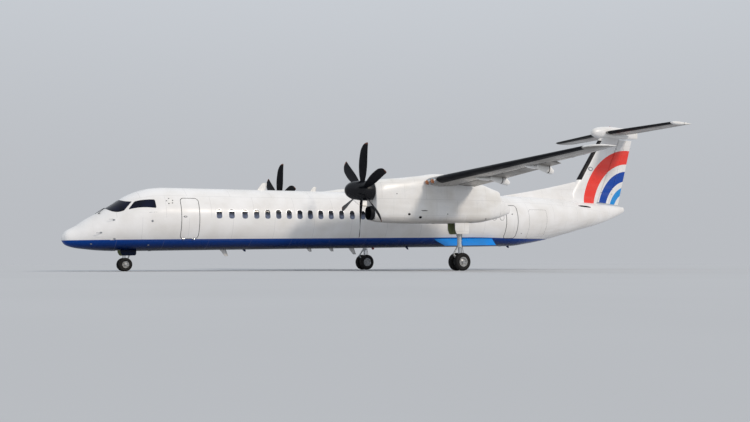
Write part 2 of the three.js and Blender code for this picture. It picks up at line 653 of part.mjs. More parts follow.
// Ring of a rudder part: the fore rudder ends at the trailing one's nose.
const rudderRing = (z, share, endShare) => {
  const s = finAt(z);
  const radius = noseRadius(s, share);
  const hinge = hingeAt(s, share);
  const place = z === RUDDER_FOOT.z ? footPlace : finPlace(z);
  if (!endShare) return surfaceRing(hinge, radius, s.te, place);
  const end = hingeAt(s, endShare) - noseRadius(s, endShare) - MOVING_GAP;
  const arc = [90, 126, 162, 198, 234, 270].map((deg) => {
    const t = THREE.MathUtils.degToRad(deg);
    return place(hinge + radius * Math.cos(t), radius * Math.sin(t));
  });
  const side = noseRadius(s, endShare) * 1.05;
  return [...arc, place(end, -side), place(end, side)];
};
const rudderPart = (share, endShare) =>
  loft([RUDDER_FOOT.z, RUDDER_TOP].map((z) => rudderRing(z, share, endShare)));
const foreRudder = () =>
  hung(rudderPart(FORE_HINGE, TRAIL_HINGE), rudderFittings(FORE_HINGE, 45)).add(
    joined(...bracketsOf(rudderFittings(TRAIL_HINGE, 24))),
  );
const trailingRudder = () => hung(rudderPart(TRAIL_HINGE), rudderFittings(TRAIL_HINGE, 24));

const DORSAL = named(["x", "top", "half"], [
  [22500, 1355, 20],
  [25100, 1760, 60],
  [27900, 2290, 110],
]);
function dorsalFin() {
  const rings = DORSAL.map(({ x, top, half }) => [
    [x, -half * 1.6, 600],
    [x, -half * 1.3, 1200],
    [x, -half * 0.35, top - half * 0.5],
    [x, 0, top],
    [x, half * 0.35, top - half * 0.5],
    [x, half * 1.3, 1200],
    [x, half * 1.6, 600],
  ]);
  const finGrown = loft([700, FIN.top].map((z) => foilRing(finAt(z), finAt(z).te, finPlace(z), GAP)));
  return loft(rings).subtract(fuselageGrown(21000, 29000)).subtract(finGrown);
}

const BULLET = named(["x", "top", "bottom", "half", "power"], [
  [29120, 5190, 5110, 40, 2],
  [29200, 5320, 5010, 140, 2],
  [29450, 5450, 4910, 220, 2],
  [29900, 5540, 4870, 265, 2.2],
  [30500, 5576, 4860, 275, 2.4],
  [31300, 5560, 4880, 235, 2.4],
  [32200, 5520, 4920, 140, 2.4],
  [32830, 5490, 4960, 45, 2.4],
]);
const BULLET_FROM = 29120;
const BULLET_TO = 32830;
const bulletGrown = () => stretch(BULLET, BULLET_FROM, BULLET_TO, 20, GAP);
const bullet = () => stretch(BULLET, BULLET_FROM, BULLET_TO, 20).subtract(tailplaneGrown());

const TAIL = { leRoot: 29950, leTip: 30530, te: 32050, hinge: 0.66, rootThick: 270, tipThick: 170 };
function tailAt(y) {
  const t = Math.abs(y) / TAIL_HALF_SPAN;
  return {
    le: TAIL.leRoot + t * (TAIL.leTip - TAIL.leRoot),
    te: TAIL.te,
    thick: TAIL.rootThick + t * (TAIL.tipThick - TAIL.rootThick),
  };
}
const tailPlace = (y) => (x, offset) => [x, y, TAIL_Z + offset];
function tailBox(grow) {
  const ys = [-TAIL_HALF_SPAN, 0, TAIL_HALF_SPAN];
  return loft(
    ys.map((y) => {
      const s = tailAt(y);
      const end = hingeAt(s, TAIL.hinge) - noseRadius(s, TAIL.hinge) - MOVING_GAP;
      return foilRing(s, end, tailPlace(y), grow);
    }),
  );
}
const tailplaneGrown = () => tailBox(GAP);
const ELEVATOR_INNER = 330;
const elevatorHinge = (y, side) => [hingeAt(tailAt(y), TAIL.hinge), side * y, TAIL_Z];
const elevatorFittings = (side) =>
  lineOfFittings(
    elevatorHinge(ELEVATOR_INNER, side), elevatorHinge(TAIL_HALF_SPAN, side), [0.14, 0.8], [-1, 0, 0], 26, 150,
  );
const tailplane = () => joined(tailBox(0), ...bracketsOf([...elevatorFittings(-1), ...elevatorFittings(1)]));
const elevator = (side) =>
  hung(loft(
    [ELEVATOR_INNER, TAIL_HALF_SPAN].map((y) => {
      const s = tailAt(y);
      return surfaceRing(hingeAt(s, TAIL.hinge), noseRadius(s, TAIL.hinge), s.te, tailPlace(side * y));
    }),
  ), elevatorFittings(side));

// Ventral strakes under the aft cabin, in a plane through the skin at ROOT, leaning outward
const STRAKE = { from: 17300, to: 20970, edgeFrom: 17850, edgeTo: 20850, embed: 70, reach: 410, half: 30 };
const STRAKE_ROOT = { y: 950, z: -960, lean: 61 };
function strake(side) {
  const { from, to, edgeFrom, edgeTo, embed, reach, half } = STRAKE;
  const outline = new THREE.Shape([
    new THREE.Vector2(from, -embed),
    new THREE.Vector2(to, -embed),
    new THREE.Vector2(edgeTo, reach),
    new THREE.Vector2(edgeFrom, reach),
  ]);
  const plate = new THREE.ExtrudeGeometry(outline, { depth: 2 * half, bevelEnabled: false }).translate(0, 0, -half);
  const starboard = solidOf(plate)
    .rotate([-STRAKE_ROOT.lean, 0, 0])
    .translate([0, STRAKE_ROOT.y, STRAKE_ROOT.z])
    .subtract(fuselageGrown(16000, 22500));
  return side > 0 ? starboard : mirrored(starboard);
}

// Landing gear. Axle height puts each tyre on the ground under the tilted airframe.
const axleZ = (x, radius) => (radius - NOSE_HEIGHT - x * Math.sin(PITCH)) / Math.cos(PITCH);

// Gear is drawn square to the airframe and then turned about its axle to stand upright.
const upright = (solid, [x, , z]) =>
  solid.translate([-x, 0, -z]).rotate([0, THREE.MathUtils.radToDeg(PITCH), 0]).translate([x, 0, z]);
const noseAxle = [NOSE_GEAR_X, 0, axleZ(NOSE_GEAR_X, NOSE_WHEEL.radius)];
const mainAxle = (side) => [MAIN_GEAR_X, side * ENGINE_Y, axleZ(MAIN_GEAR_X, MAIN_WHEEL.radius)];
const ROOF_GAP = 4;
const WHEEL_SIDES = 24;

function tyre({ radius, width, rim }, centre) {
  const half = width / 2;
  const side = [[rim, 0.72], [radius * 0.8, 1], [radius * 0.95, 0.82], [radius, 0.4]];
  const outline = [...side.map(([r, w]) => [r, -w * half]), ...side.reverse().map(([r, w]) => [r, w * half])];
  return turned([...outline, outline[0]], centre, [0, 1, 0], WHEEL_SIDES);
}

// Axle with both wheel rims, turning in the leg's bore
function axleWithRims({ spacing, width, rim, axle }, centre) {
  const [x, y, z] = centre;
  const reach = spacing / 2 + width / 2;
  const rims = [-1, 1].map((side) => {
    const middle = [x, y + (side * spacing) / 2, z];
    const half = width * 0.42;
    return turned([[0, -half], [rim - GAP, -half], [rim - GAP, half], [0, half]], middle, [0, 1, 0], WHEEL_SIDES);
  });
  return joined(rod([x, y - reach, z], [x, y + reach, z], axle, undefined, SHAFT_SIDES), ...rims);
}

// Main leg with its trunnion, torque links and folding brace
function mainLeg(side) {
  const [x, y, z] = mainAxle(side);
  const across = (px, pz, half, radius, sides) => rod([px, y - half, pz], [px, y + half, pz], radius, undefined, sides);
  const wall = WELL.half - GAP;
  const link = (s, from, to) => rod([from[0], y + s * 40, from[1]], [to[0], y + s * 20, to[1]], 22, undefined, 6);
  const knee = [x - 330, -1720];
  const braceFoot = [x - 115, -900];
  const braceHead = [WELL.from + 120, 180];
  return upright(
    joined(
      rod([x, y, z], [x, y, -1300], 62),
      rod([x, y, -1420], [x, y, -1300], 110),
      rod([x, y, -1350], [x, y, WELL.top - ROOF_GAP], 92),
      across(x, z, 75, 95, 20),
      across(x, 60, wall, 60, 12),
      across(x, -900, 60, 100, 16),
      across(knee[0], knee[1], 45, 30, 8),
      ...[-1, 1].flatMap((s) => [link(s, [x - 60, -1400], knee), link(s, [x - 40, z + 60], knee)]),
      rod([braceFoot[0], y, braceFoot[1]], [braceHead[0], y, braceHead[1]], 38, undefined, 10),
      across(...braceHead, wall, 40, 10),
    ).subtract(across(x, z, 200, boreFor(MAIN_WHEEL.axle), BORE_SIDES)),
    mainAxle(side),
  );
}

// Plate hanging from a bay's side wall, with its lower corners cut back. It keeps clear of the wall.
const DOOR_PLATE = 22;
function hangingDoor({ from, to, wall, top, drop }, side) {
  const outline = new THREE.Shape([
    new THREE.Vector2(from, 0),
    new THREE.Vector2(to, 0),
    new THREE.Vector2(to - 50, -drop),
    new THREE.Vector2(from + 110, -drop),
  ]);
  const plate = new THREE.ExtrudeGeometry(outline, { depth: DOOR_PLATE, bevelEnabled: false });
  return solidOf(plate.rotateX(Math.PI / 2).translate(0, side * (wall - GAP - DOOR_PLATE / 2) + DOOR_PLATE / 2, top));
}
const mainGearDoor = (side, edge) =>
  hangingDoor({ from: WELL.from + 15, to: WELL.to - 15, wall: WELL.half, top: -200, drop: 620 }, edge)
    .translate([0, side * ENGINE_Y, 0]);
const noseGearDoor = (side) =>
  hangingDoor({ from: NOSE_BAY.from + 180, to: NOSE_BAY.to - 15, wall: NOSE_BAY.half, top: -1230, drop: 300 }, side);

// Nose leg: upper cylinder with its brace, and the steered lower leg that carries the axle
const COLLAR_Z = -1000;
const STEER_RADIUS = 50;
function noseLegUpper() {
  const [x] = noseAxle;
  const wall = NOSE_BAY.half - GAP;
  const braceHead = [NOSE_BAY.to - 70, -760];
  return upright(
    joined(
      rod([x, 0, COLLAR_Z - 130], [x, 0, NOSE_BAY.top - ROOF_GAP], 78),
      rod([x, -wall, -820], [x, wall, -820], 45, undefined, 12),
      rod([x + 60, 0, -960], [braceHead[0], 0, braceHead[1]], 30, undefined, 10),
      rod([braceHead[0], -wall, braceHead[1]], [braceHead[0], wall, braceHead[1]], 32, undefined, 10),
    ).subtract(rod([x, 0, -2000], [x, 0, NOSE_BAY.top - 60], boreFor(STEER_RADIUS), undefined, BORE_SIDES)),
    noseAxle,
  );
}
function noseLegLower() {
  const [x, , z] = noseAxle;
  const bore = rod([x, -200, z], [x, 200, z], boreFor(NOSE_WHEEL.axle), undefined, BORE_SIDES);
  return upright(
    joined(
      rod([x, 0, z], [x, 0, NOSE_BAY.top - 70], STEER_RADIUS, undefined, SHAFT_SIDES),
      rod([x, -70, z], [x, 70, z], 75, undefined, 16),
      rod([x, 0, COLLAR_Z - 200], [x, 0, COLLAR_Z - 140], 85),
    ).subtract(bore),
    noseAxle,
  );
}

// Assembly
const airframe = new THREE.Group();
function add(name, solid, material) {
  const mesh = new THREE.Mesh(geometryOf(solid), material);
  mesh.name = name;
  airframe.add(mesh);
}

const [foreEnd, cabinFrom, cabinTo, aftTo] = SECTION_ENDS;
add("radome", stretch(FUSELAGE, 0, foreEnd - GAP, FUSELAGE_SIDES), WHITE);
add("fuselage_forward", forwardFuselage(), WHITE);
add("fuselage_cabin", stretch(FUSELAGE, cabinFrom, cabinTo, FUSELAGE_SIDES), WHITE);
add("fuselage_aft", aftFuselage(), WHITE);
add("tail_cone", stretch(FUSELAGE, aftTo, TAIL_END, FUSELAGE_SIDES), WHITE);
add("airstair_door", airstairDoor(), WHITE);
add("wing_fairing", wingFairing(), WHITE);
add("wing_centre", wingCentre(), GREY);
add("dorsal_fin", dorsalFin(), WHITE);
add("fin", fin(), WHITE);
add("rudder_fore", foreRudder(), WHITE);
add("rudder_trailing", trailingRudder(), WHITE);
add("bullet_fairing", bullet(), WHITE);
add("tailplane", tailplane(), GREY);
add("nose_leg_upper", noseLegUpper(), GREY);
add("nose_leg_lower", noseLegLower(), STEEL);

add("nose_axle", axleWithRims(NOSE_WHEEL, noseAxle), STEEL);

for (const [name, side] of [["left", -1], ["right", 1]]) {
  const y = side * ENGINE_Y;
  add(`wing_${name}`, outerWing(side), GREY);
  add(`aileron_${name}`, aileron(side), GREY);
  add(`flap_inner_${name}`, innerFlap(side), GREY);
  add(`flap_outer_${name}`, outerFlap(side), GREY);
  add(`elevator_${name}`, elevator(side), GREY);
  add(`cowl_${name}`, sideways(cowl(), side), WHITE);
  add(`engine_${name}`, sideways(engine(), side), CASTING);
  add(`nacelle_aft_${name}`, aftNacelle(side), WHITE);
  add(`propeller_${name}`, propeller().translate([PROP_X, y, PROP_Z]), BLACK);
  add(`spinner_${name}`, spinner().translate([PROP_X, y, PROP_Z]), BLACK);
  add(`strake_${name}`, strake(side), NAVY);
  add(`main_leg_${name}`, mainLeg(side), STEEL);
  add(`main_axle_${name}`, axleWithRims(MAIN_WHEEL, mainAxle(side)), STEEL);
  add(`nose_gear_door_${name}`, noseGearDoor(side), WHITE);
  const [noseX, , noseZ] = noseAxle;
  add(`nose_tyre_${name}`, tyre(NOSE_WHEEL, [noseX, (side * NOSE_WHEEL.spacing) / 2, noseZ]), TYRE);
  for (const [place, edge] of [["inner", -side], ["outer", side]]) {
    const [mainX, , mainZ] = mainAxle(side);
    add(`main_tyre_${name}_${place}`, tyre(MAIN_WHEEL, [mainX, y + (edge * MAIN_WHEEL.spacing) / 2, mainZ]), TYRE);
    add(`main_gear_door_${name}_${place}`, mainGearDoor(side, edge), WHITE);
  }
}

airframe.rotation.y = -PITCH;
airframe.position.set(-BOX_CENTRE, 0, NOSE_HEIGHT);
const airliner = new THREE.Group();
airliner.add(airframe);
export default airliner;
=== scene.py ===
import bmesh
import bpy
import math
from functools import partial
from math import cos, pi, radians, sin
from mathutils import Matrix, Vector


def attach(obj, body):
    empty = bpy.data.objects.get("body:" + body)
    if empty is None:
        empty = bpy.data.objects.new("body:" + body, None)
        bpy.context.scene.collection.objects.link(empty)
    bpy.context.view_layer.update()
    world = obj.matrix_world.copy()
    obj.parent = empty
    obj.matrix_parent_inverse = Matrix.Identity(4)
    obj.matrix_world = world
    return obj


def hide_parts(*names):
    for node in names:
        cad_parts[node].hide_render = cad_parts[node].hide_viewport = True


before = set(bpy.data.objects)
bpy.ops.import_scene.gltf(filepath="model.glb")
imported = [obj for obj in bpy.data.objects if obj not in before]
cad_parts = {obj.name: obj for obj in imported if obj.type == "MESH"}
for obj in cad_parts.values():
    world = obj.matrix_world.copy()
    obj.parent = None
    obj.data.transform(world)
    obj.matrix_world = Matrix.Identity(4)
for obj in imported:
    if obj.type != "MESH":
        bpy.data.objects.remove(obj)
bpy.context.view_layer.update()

NOSE_TIP_X = -16.367
CABIN_HEIGHT = 2.13
NOSE_DOWN = radians(1.2)
STANCE = Matrix.Translation((NOSE_TIP_X, 0, CABIN_HEIGHT)) @ Matrix.Rotation(-NOSE_DOWN, 4, "Y")
AIRFRAME = STANCE.inverted()
SIDES = (("left", -1), ("right", 1))
CABIN_RADIUS = 1.345
ENGINE_Y = 4.4
# Joint between the nose cone and the forward fuselage
RADOME_END = 1.05


# Finishes

def colour(code):
    """Linear colour of an sRGB hex code."""
    parts = [int(code[i : i + 2], 16) / 255 for i in (1, 3, 5)]
    return [p / 12.92 if p <= 0.04045 else ((p + 0.055) / 1.055) ** 2.4 for p in parts] + [1.0]


def add(tree, kind, inputs=(), output="", **settings):
    """Adds a node with its settings, and links or sets its inputs, in order or by name. Returns an output."""
    made = tree.nodes.new("ShaderNode" + kind)
    for name, value in settings.items():
        setattr(made, name, value)
    used = [socket for socket in made.inputs if socket.enabled]
    if not isinstance(inputs, dict):
        inputs = {socket.identifier: value for socket, value in zip(used, inputs)}
    for name, value in inputs.items():
        socket = next(s for s in used if name in (s.identifier, s.name))
        if isinstance(value, bpy.types.NodeSocket):
            tree.links.new(value, socket)
        else:
            socket.default_value = value
    return next(s for s in made.outputs if s.enabled and output in ("", s.identifier))


class Finish:
    """Material whose colour drifts to a worn tone in patches, with a fine grain. Sizes are in millimetres."""

    def __init__(
        self, name, tone, worn, patch=900, rough=(0.25, 0.4), grain=6, height=0.05, metal=0.0, coat=0.0,
        shine=0.5,
    ):
        self.material = bpy.data.materials.new(name)
        self.material.use_nodes = True
        self.tree = self.material.node_tree
        self.add = partial(add, self.tree)
        self.shader = self.tree.nodes["Principled BSDF"]
        uniform = {"Metallic": metal, "Coat Weight": coat, "Coat Roughness": 0.1, "Specular IOR Level": shine}
        for socket, value in uniform.items():
            self.shader.inputs[socket].default_value = value
        seen = self.add("TexCoord", output="Object")
        self.place = self.add("Mapping", (seen, AIRFRAME.translation, AIRFRAME.to_euler()))
        self.axes = self.add("SeparateXYZ", (self.place,)).node.outputs
        drift = self.add("TexNoise", (self.place, 1000 / patch, 5.0))
        share = self.add("MapRange", (drift, 0.4, 0.7))
        self.tone = self.add("Mix", (share, colour(tone), colour(worn)), data_type="RGBA")
        self.rough = self.add("MapRange", (drift, 0.35, 0.65, *rough))
        fine = self.add("TexNoise", (self.place, 1000 / grain, 2.0))
        self.height = self.add("Math", (fine, height / 1000), operation="MULTIPLY")

    def cover(self, share, tone):
        """Lays a tone over the finish, as far as share says."""
        self.tone = self.add("Mix", (share, self.tone, tone), data_type="RGBA")
        return self

    def joints(self, across, down, sheet, line, depth, shade, where=None):
        """Seams between sheets of the given size, laid over two coordinates."""
        spot = self.add("CombineXYZ", (across, down))
        sizes = {"Brick Width": sheet[0], "Row Height": sheet[1], "Mortar Size": line, "Mortar Smooth": 0.3}
        seam = self.add("TexBrick", {"Vector": spot, "Scale": 1.0, **sizes}, "Fac", offset=0.5)
        if where is not None:
            seam = self.add("Math", (seam, where), operation="MULTIPLY")
        code, strength = shade
        self.cover(self.add("Math", (seam, strength), operation="MULTIPLY"), colour(code))
        pressed = self.add("Math", (seam, depth), operation="MULTIPLY")
        self.height = self.add("Math", (self.height, pressed), operation="SUBTRACT")
        return self

    def streaks(self, code, stretch, share, where=None):
        """Grime drawn out along the airflow."""
        long = self.add("Mapping", {"Vector": self.place, "Scale": stretch})
        runs = self.add("MapRange", (self.add("TexNoise", (long, 1.0, 6.0)), 0.45, 0.75))
        amount = self.add("Math", (runs, share), operation="MULTIPLY")
        if where is not None:
            amount = self.add("Math", (amount, where), operation="MULTIPLY")
        return self.cover(amount, colour(code))

    def made(self):
        raised = self.add("Bump", {"Height": self.height, "Distance": 1.0, "Strength": 0.6})
        for socket, value in (("Base Color", self.tone), ("Roughness", self.rough), ("Normal", raised)):
            self.tree.links.new(value, self.shader.inputs[socket])
        return self.material


def livery():
    """White polyurethane enamel over a blue belly: clean and glossy, with painted shade that deepens the blue
    towards its bottom and painted light that brightens its upper edge.
    """
    name = "polyurethane_enamel_livery"
    paint = Finish(name, "#EDECEC", "#E2E0DE", rough=(0.2, 0.32), height=0.02, shine=0.13)
    x, y, z = paint.axes
    turn = paint.add("Math", (z, y), operation="ARCTAN2")
    around = paint.add("Math", (turn, CABIN_RADIUS), operation="MULTIPLY")
    edge = paint.add("MapRange", (x, 19.5, 24.0, -0.885, -0.98), interpolation_type="SMOOTHSTEP")
    above = paint.add("Math", (z, edge), operation="SUBTRACT")
    # Painted shade and light: the blue is darkest at the bottom and painted brighter towards its upper edge,
    # as if lit from above
    painted_light_share = paint.add("MapRange", (above, -0.46, 0.0), interpolation_type="SMOOTHSTEP")
    blue = paint.add("Mix", (painted_light_share, colour("#010B24"), colour("#043F94")), data_type="RGBA")
    # Brownish streaks, stronger aft and lower down
    aft = paint.add("MapRange", (x, 21.0, 27.0))
    low = paint.add("MapRange", (z, 0.2, -0.7))
    aft_low_streak_share = paint.add("Math", (aft, low), operation="MULTIPLY")
    paint.streaks("#8F8678", (0.35, 5.0, 5.0), 0.35, aft_low_streak_share)
    paint.cover(paint.add("MapRange", (above, -0.004, 0.004, 1.0, 0.0)), blue)
    # Joints are 3 mm wide on the real skin and drawn as 7 mm so that they show. The nose cone has none.
    skin = paint.add("MapRange", (x, RADOME_END - 0.01, RADOME_END + 0.01))
    return paint.joints(x, around, (1.93, 1.06), 0.007, 0.0006, ("#8E9096", 0.35), skin).made()


def painted(name, tone, worn, plane, sheet=(1.1, 0.7), grime="#8B8479", share=0.15, keel=None, shine=0.4):
    """Enamel on riveted sheet: soft gloss, faint seams and grime along the airflow. Below a given height it
    turns darker, partly grime and partly painted shade.
    """
    paint = Finish(name, tone, worn, rough=(0.24, 0.38), height=0.03, shine=shine)
    paint.streaks(grime, (0.5, 4.0, 4.0), share)
    if keel is not None:
        # Painted shade under the nacelle, with its grime: a darker tone and dark streaks below that height
        low = paint.add("MapRange", (paint.axes[2], keel, keel - 0.3))
        paint.cover(paint.add("Math", (low, 0.6), operation="MULTIPLY"), colour("#857A6F"))
        paint.streaks("#4A4139", (0.4, 6.0, 6.0), 0.55, low)
    across, down = (paint.axes[axis] for axis in plane)
    return paint.joints(across, down, sheet, 0.006, 0.0005, ("#6F7075", 0.3)).made()


def window_glass(name, upper, lower):
    """Opaque stretched acrylic with the dim cabin as painted shade, darkest at the top, and painted light
    lower down where the seats would catch it.
    """
    pane = Finish(name, upper, upper, rough=(0.05, 0.1), height=0.0, shine=0.35)
    # Painted light: a paler tone low in the pane, broken up by noise
    share = pane.add("MapRange", (pane.axes[2], 0.28, 0.02), interpolation_type="SMOOTHSTEP")
    uneven = pane.add("TexNoise", (pane.place, 7.0, 2.0))
    return pane.cover(pane.add("Math", (share, uneven), operation="MULTIPLY"), colour(lower)).made()


def boot_rubber():
    """Inflatable neoprene boot: satin black with tubes along the edge, dusted grey."""
    boot = Finish("neoprene_boot", "#0F1015", "#191A20", 700, (0.4, 0.6), 6, 0.1, shine=0.12)
    return boot.streaks("#35332F", (3.0, 0.4, 3.0), 0.25).made()


# The tail's arcs: inner and outer radius about the rudder's foot, and colour
ARC_CENTRE = (31.9, 0.35)
ARCS = ((1.35, 1.72, "#1E8FDB"), (2.05, 2.62, "#0F46A6"), (3.05, 3.86, "#EE4238"))
ARC_EDGE = 0.005


def tail_paint():
    """White enamel with broad arcs in azure, royal blue and red."""
    name = "polyurethane_enamel_tail"
    paint = Finish(name, "#EDECEC", "#E3E1DF", rough=(0.2, 0.32), height=0.02, shine=0.3)
    x, _, z = paint.axes
    squares = []
    for axis, centre in zip((x, z), ARC_CENTRE):
        off = paint.add("Math", (axis, centre), operation="SUBTRACT")
        squares.append(paint.add("Math", (off, 2.0), operation="POWER"))
    away = paint.add("Math", (paint.add("Math", squares, operation="ADD"), 0.5), operation="POWER")
    for inner, outer, code in ARCS:
        rise = paint.add("MapRange", (away, inner - ARC_EDGE, inner))
        fall = paint.add("MapRange", (away, outer, outer + ARC_EDGE, 1, 0))
        paint.cover(paint.add("Math", (rise, fall), operation="MULTIPLY"), colour(code))
    paint.streaks("#B9B2A8", (0.5, 4.0, 4.0), 0.08)
    return paint.joints(x, z, (1.4, 0.9), 0.006, 0.0005, ("#77787D", 0.25)).made()


LIVERY = livery()
TAIL_PAINT = tail_paint()
BOOT = boot_rubber()
# White enamel on a nacelle or fairing: warm white with oil haze, and painted shade with grime under the
# nacelle
WHITE_SIDE = painted("white_enamel_on_sheet", "#EBEAEA", "#DEDBD6", (0, 2), share=0.12)
NACELLE_WHITE = painted("white_enamel_on_nacelle", "#ECEBEA", "#E0DDD8", (0, 2), share=0.12, keel=0.0)
WHITE_TOP = painted("white_enamel_on_composite", "#EEEDEC", "#E4E2DE", (0, 1), (1.6, 1.2), share=0.08)
# Grey enamel under and over the wings: flatter, with seams along the spars, its tone darkened and warmed as
# painted shade
WING_GREY = painted("grey_enamel_wing", "#94908B", "#827D77", (1, 0), (1.35, 0.52), "#5F5A54", 0.3)
# Silicone seal round doors: dark matt line
SEAL = Finish("silicone_seal", "#45464B", "#35363A", rough=(0.6, 0.8), shine=0.2).made()
# Polysulphide sealant: matt tan beads round the flight deck panes and the wing fairing
SEALANT = Finish("polysulphide_sealant", "#B3A78F", "#9A8E78", 120, (0.55, 0.75), 4, 0.2).made()
# Anodised ring round each window: pale satin
WINDOW_RING = Finish("anodised_aluminium_ring", "#C9CCD2", "#B4B8BF", 200, (0.3, 0.45), metal=0.6).made()
# Moulded reveal inside the ring: mid grey, matt
REVEAL = Finish("window_reveal_moulding", "#8D9097", "#7C7F86", 200, (0.5, 0.6)).made()
CABIN_GLASS = window_glass("stretched_acrylic_window", "#0D1018", "#8F9AB6")
# Laminated windscreen: near black as painted shade for the dim flight deck behind it, with bluer patches
# painted as a glint
DECK_GLASS = Finish("laminated_windscreen_glass", "#090C18", "#10152C", 500, (0.05, 0.1), shine=0.12).made()
# Neoprene seals, tubes and grips: black, soft and dusty
RUBBER = Finish("neoprene_rubber", "#131416", "#1E1E20", 300, (0.5, 0.7), 4, 0.2, shine=0.2).made()
# Matt black: the static wicks' own colour, and painted shade for depth, with no glint, in ducts, slots, gaps
# and openings
DARK = Finish("matt_black_and_painted_shade", "#08090B", "#111214", 300, (0.7, 0.9), shine=0.08).made()
# Zinc primer inside bays: yellow-green gone dull
PRIMER = Finish("zinc_chromate_primer", "#7F8A5C", "#6A7050", 400, (0.55, 0.7), 8, 0.2).made()
# Forged aluminium fittings, painted light grey and worn bare at the edges
FORGING = Finish("forged_aluminium", "#A7AAAE", "#8A8D92", 60, (0.35, 0.5), 3, 0.1, metal=0.8).made()
# Composite blades: satin black, with a nickel strip along the nose and painted tips
BLADE_BLACK = Finish(
    "carbon_composite_satin_black", "#0B0C12", "#14151B", 250, (0.4, 0.52), 2, 0.05, shine=0.15
).made()
TIP_BROWN = Finish("tip_enamel_brown", "#7A4A36", "#5A3B2E", 120, (0.35, 0.5), shine=0.25).made()
NICKEL = Finish(
    "nickel_erosion_strip", "#1E1F24", "#16171B", 90, (0.35, 0.5), 3, 0.05, metal=0.2, shine=0.3
).made()
# Spinner: black enamel with a deep gloss
SPINNER_BLACK = Finish("gloss_black_enamel", "#090A10", "#131419", 350, (0.22, 0.34), shine=0.3).made()
# Exhaust: bare alloy gone brown and blotchy with heat
EXHAUST = Finish("heat_tinted_nickel_alloy", "#6E5F52", "#3E3833", 180, (0.35, 0.6), 5, 0.2, metal=1.0).made()
# Strakes: blue enamel, deep navy inside as painted shade and bright azure outside as painted sunlight
NAVY = painted("navy_enamel_and_painted_shade", "#051A4A", "#072054", (0, 2), share=0.05, shine=0.15)
SUNLIT_AZURE = painted("blue_enamel_painted_sunlit", "#0E86E2", "#1680D2", (0, 2), share=0.06, shine=0.2)
# Landing gear: light grey enamel on steel, chromed pistons and forged wheels
GEAR_ENAMEL = Finish("epoxy_enamel_gear", "#C3C6C8", "#A9A9A6", 120, (0.3, 0.5), 4, 0.05).made()
CHROME = Finish("hard_chrome_piston", "#D2D4D6", "#BFC1C4", 300, (0.08, 0.16), 3, 0.01, metal=1.0).made()
RIM = Finish("forged_wheel_enamel", "#B9BBBD", "#8F8D89", 90, (0.35, 0.55), 3, 0.05, metal=0.5).made()
# Tyres: carbon-black rubber, dusted grey and dull
TYRE = Finish("carbon_black_tyre_rubber", "#171719", "#262423", 140, (0.6, 0.8), 5, 0.3, shine=0.2).made()
# Brake: dull charcoal with a fine grain
CARBON_BRAKE = Finish("carbon_brake_disc", "#2A2A2C", "#1B1A1A", 60, (0.4, 0.6), 3, 0.2, metal=0.4).made()
# Carpet: dark blue-grey, no sheen
CARPET = Finish("ribbed_nylon_carpet", "#3A4048", "#2F343B", 200, (0.8, 0.95), 4, 1.0).made()
# Engine: dark sandy casting
ENGINE_CASE = Finish("cast_magnesium_case", "#6A6C6E", "#55524E", 160, (0.45, 0.65), 5, 0.5, metal=0.7).made()
# Lamps: glass tinted red, green or left clear, and a copper-toned reflector behind the landing lights
RED_LENS = Finish("ruby_glass_lens", "#A3151A", "#8C1217", 60, (0.05, 0.1), coat=1.0).made()
GREEN_LENS = Finish("green_glass_lens", "#0E7A45", "#0C6A3C", 60, (0.05, 0.1), coat=1.0).made()
LAMP_GLASS = Finish(
    "clear_glass_over_reflector", "#D8DCE0", "#C2C8CE", 40, (0.04, 0.1), 4, 0.2, metal=0.6, coat=1.0
).made()
COPPER_LAMP = Finish(
    "copper_toned_reflector", "#B9764A", "#9A5C36", 50, (0.12, 0.25), 6, 0.2, metal=0.9, coat=1.0
).made()
# Cabin lining: warm off-white, even and matt
LINING = Finish("moulded_cabin_lining", "#D9D6CE", "#CBC7BD", 600, (0.45, 0.6), 2, 0.1).made()


# Shapes

def faired(table, x):
    """Row of a table at x, on a smooth curve that never overshoots its rows."""
    k = next((i for i, row in enumerate(table) if row[0] >= x), len(table) - 1)
    k = max(k, 1)
    a, b = table[k - 1], table[k]
    width = b[0] - a[0]
    t = (x - a[0]) / width

    def slope(i, c):
        rises = []
        for j in (i - 1, i):
            if 0 <= j < len(table) - 1:
                rises.append((table[j + 1][c] - table[j][c]) / (table[j + 1][0] - table[j][0]))
        if len(rises) == 1:
            return rises[0]
        if rises[0] * rises[1] <= 0:
            return 0.0
        return 2 * rises[0] * rises[1] / (rises[0] + rises[1])

    row = []
    for c in range(1, len(a)):
        rise = (t**3 - 2 * t**2 + t) * slope(k - 1, c) + (t**3 - t**2) * slope(k, c)
        row.append(a[c] + (3 * t**2 - 2 * t**3) * (b[c] - a[c]) + rise * width)
    return row


# Marks closer together than this are one line
MARK_GAP = 0.0015


def spread(start, end, step, marks=()):
    """Even lines from start to end, with a line on each mark and none crowding it."""
    kept = []
    for mark in sorted({start, end, *marks}):
        if not kept or mark - kept[-1] > MARK_GAP:
            kept.append(mark)
    count = max(1, round((end - start) / step))
    for i in range(1, count):
        line = start + (end - start) * i / count
        if min(abs(line - mark) for mark in kept) > 0.4 * step:
            kept.append(line)
    return sorted(kept)


def coat(faces, finish):
    """Gives faces a finish, as a place in the piece's own list of finishes."""
    for face in faces:
        face.material_index = finish


def choose(bm, finish, test):
    """Gives a finish to the faces whose middle passes a test."""
    coat([face for face in bm.faces if test(face.calc_center_median())], finish)


def verts_in(parts):
    return [part for part in parts if isinstance(part, bmesh.types.BMVert)]


def faces_at(verts):
    return {face for vert in verts for face in vert.link_faces}


def round_edges(bm, verts, width):
    edges = list({edge for vert in verts for edge in vert.link_edges})
    bmesh.ops.bevel(
        bm, geom=edges, offset=width, offset_type="OFFSET", segments=2, profile=0.5, affect="EDGES",
        material=-1,
    )


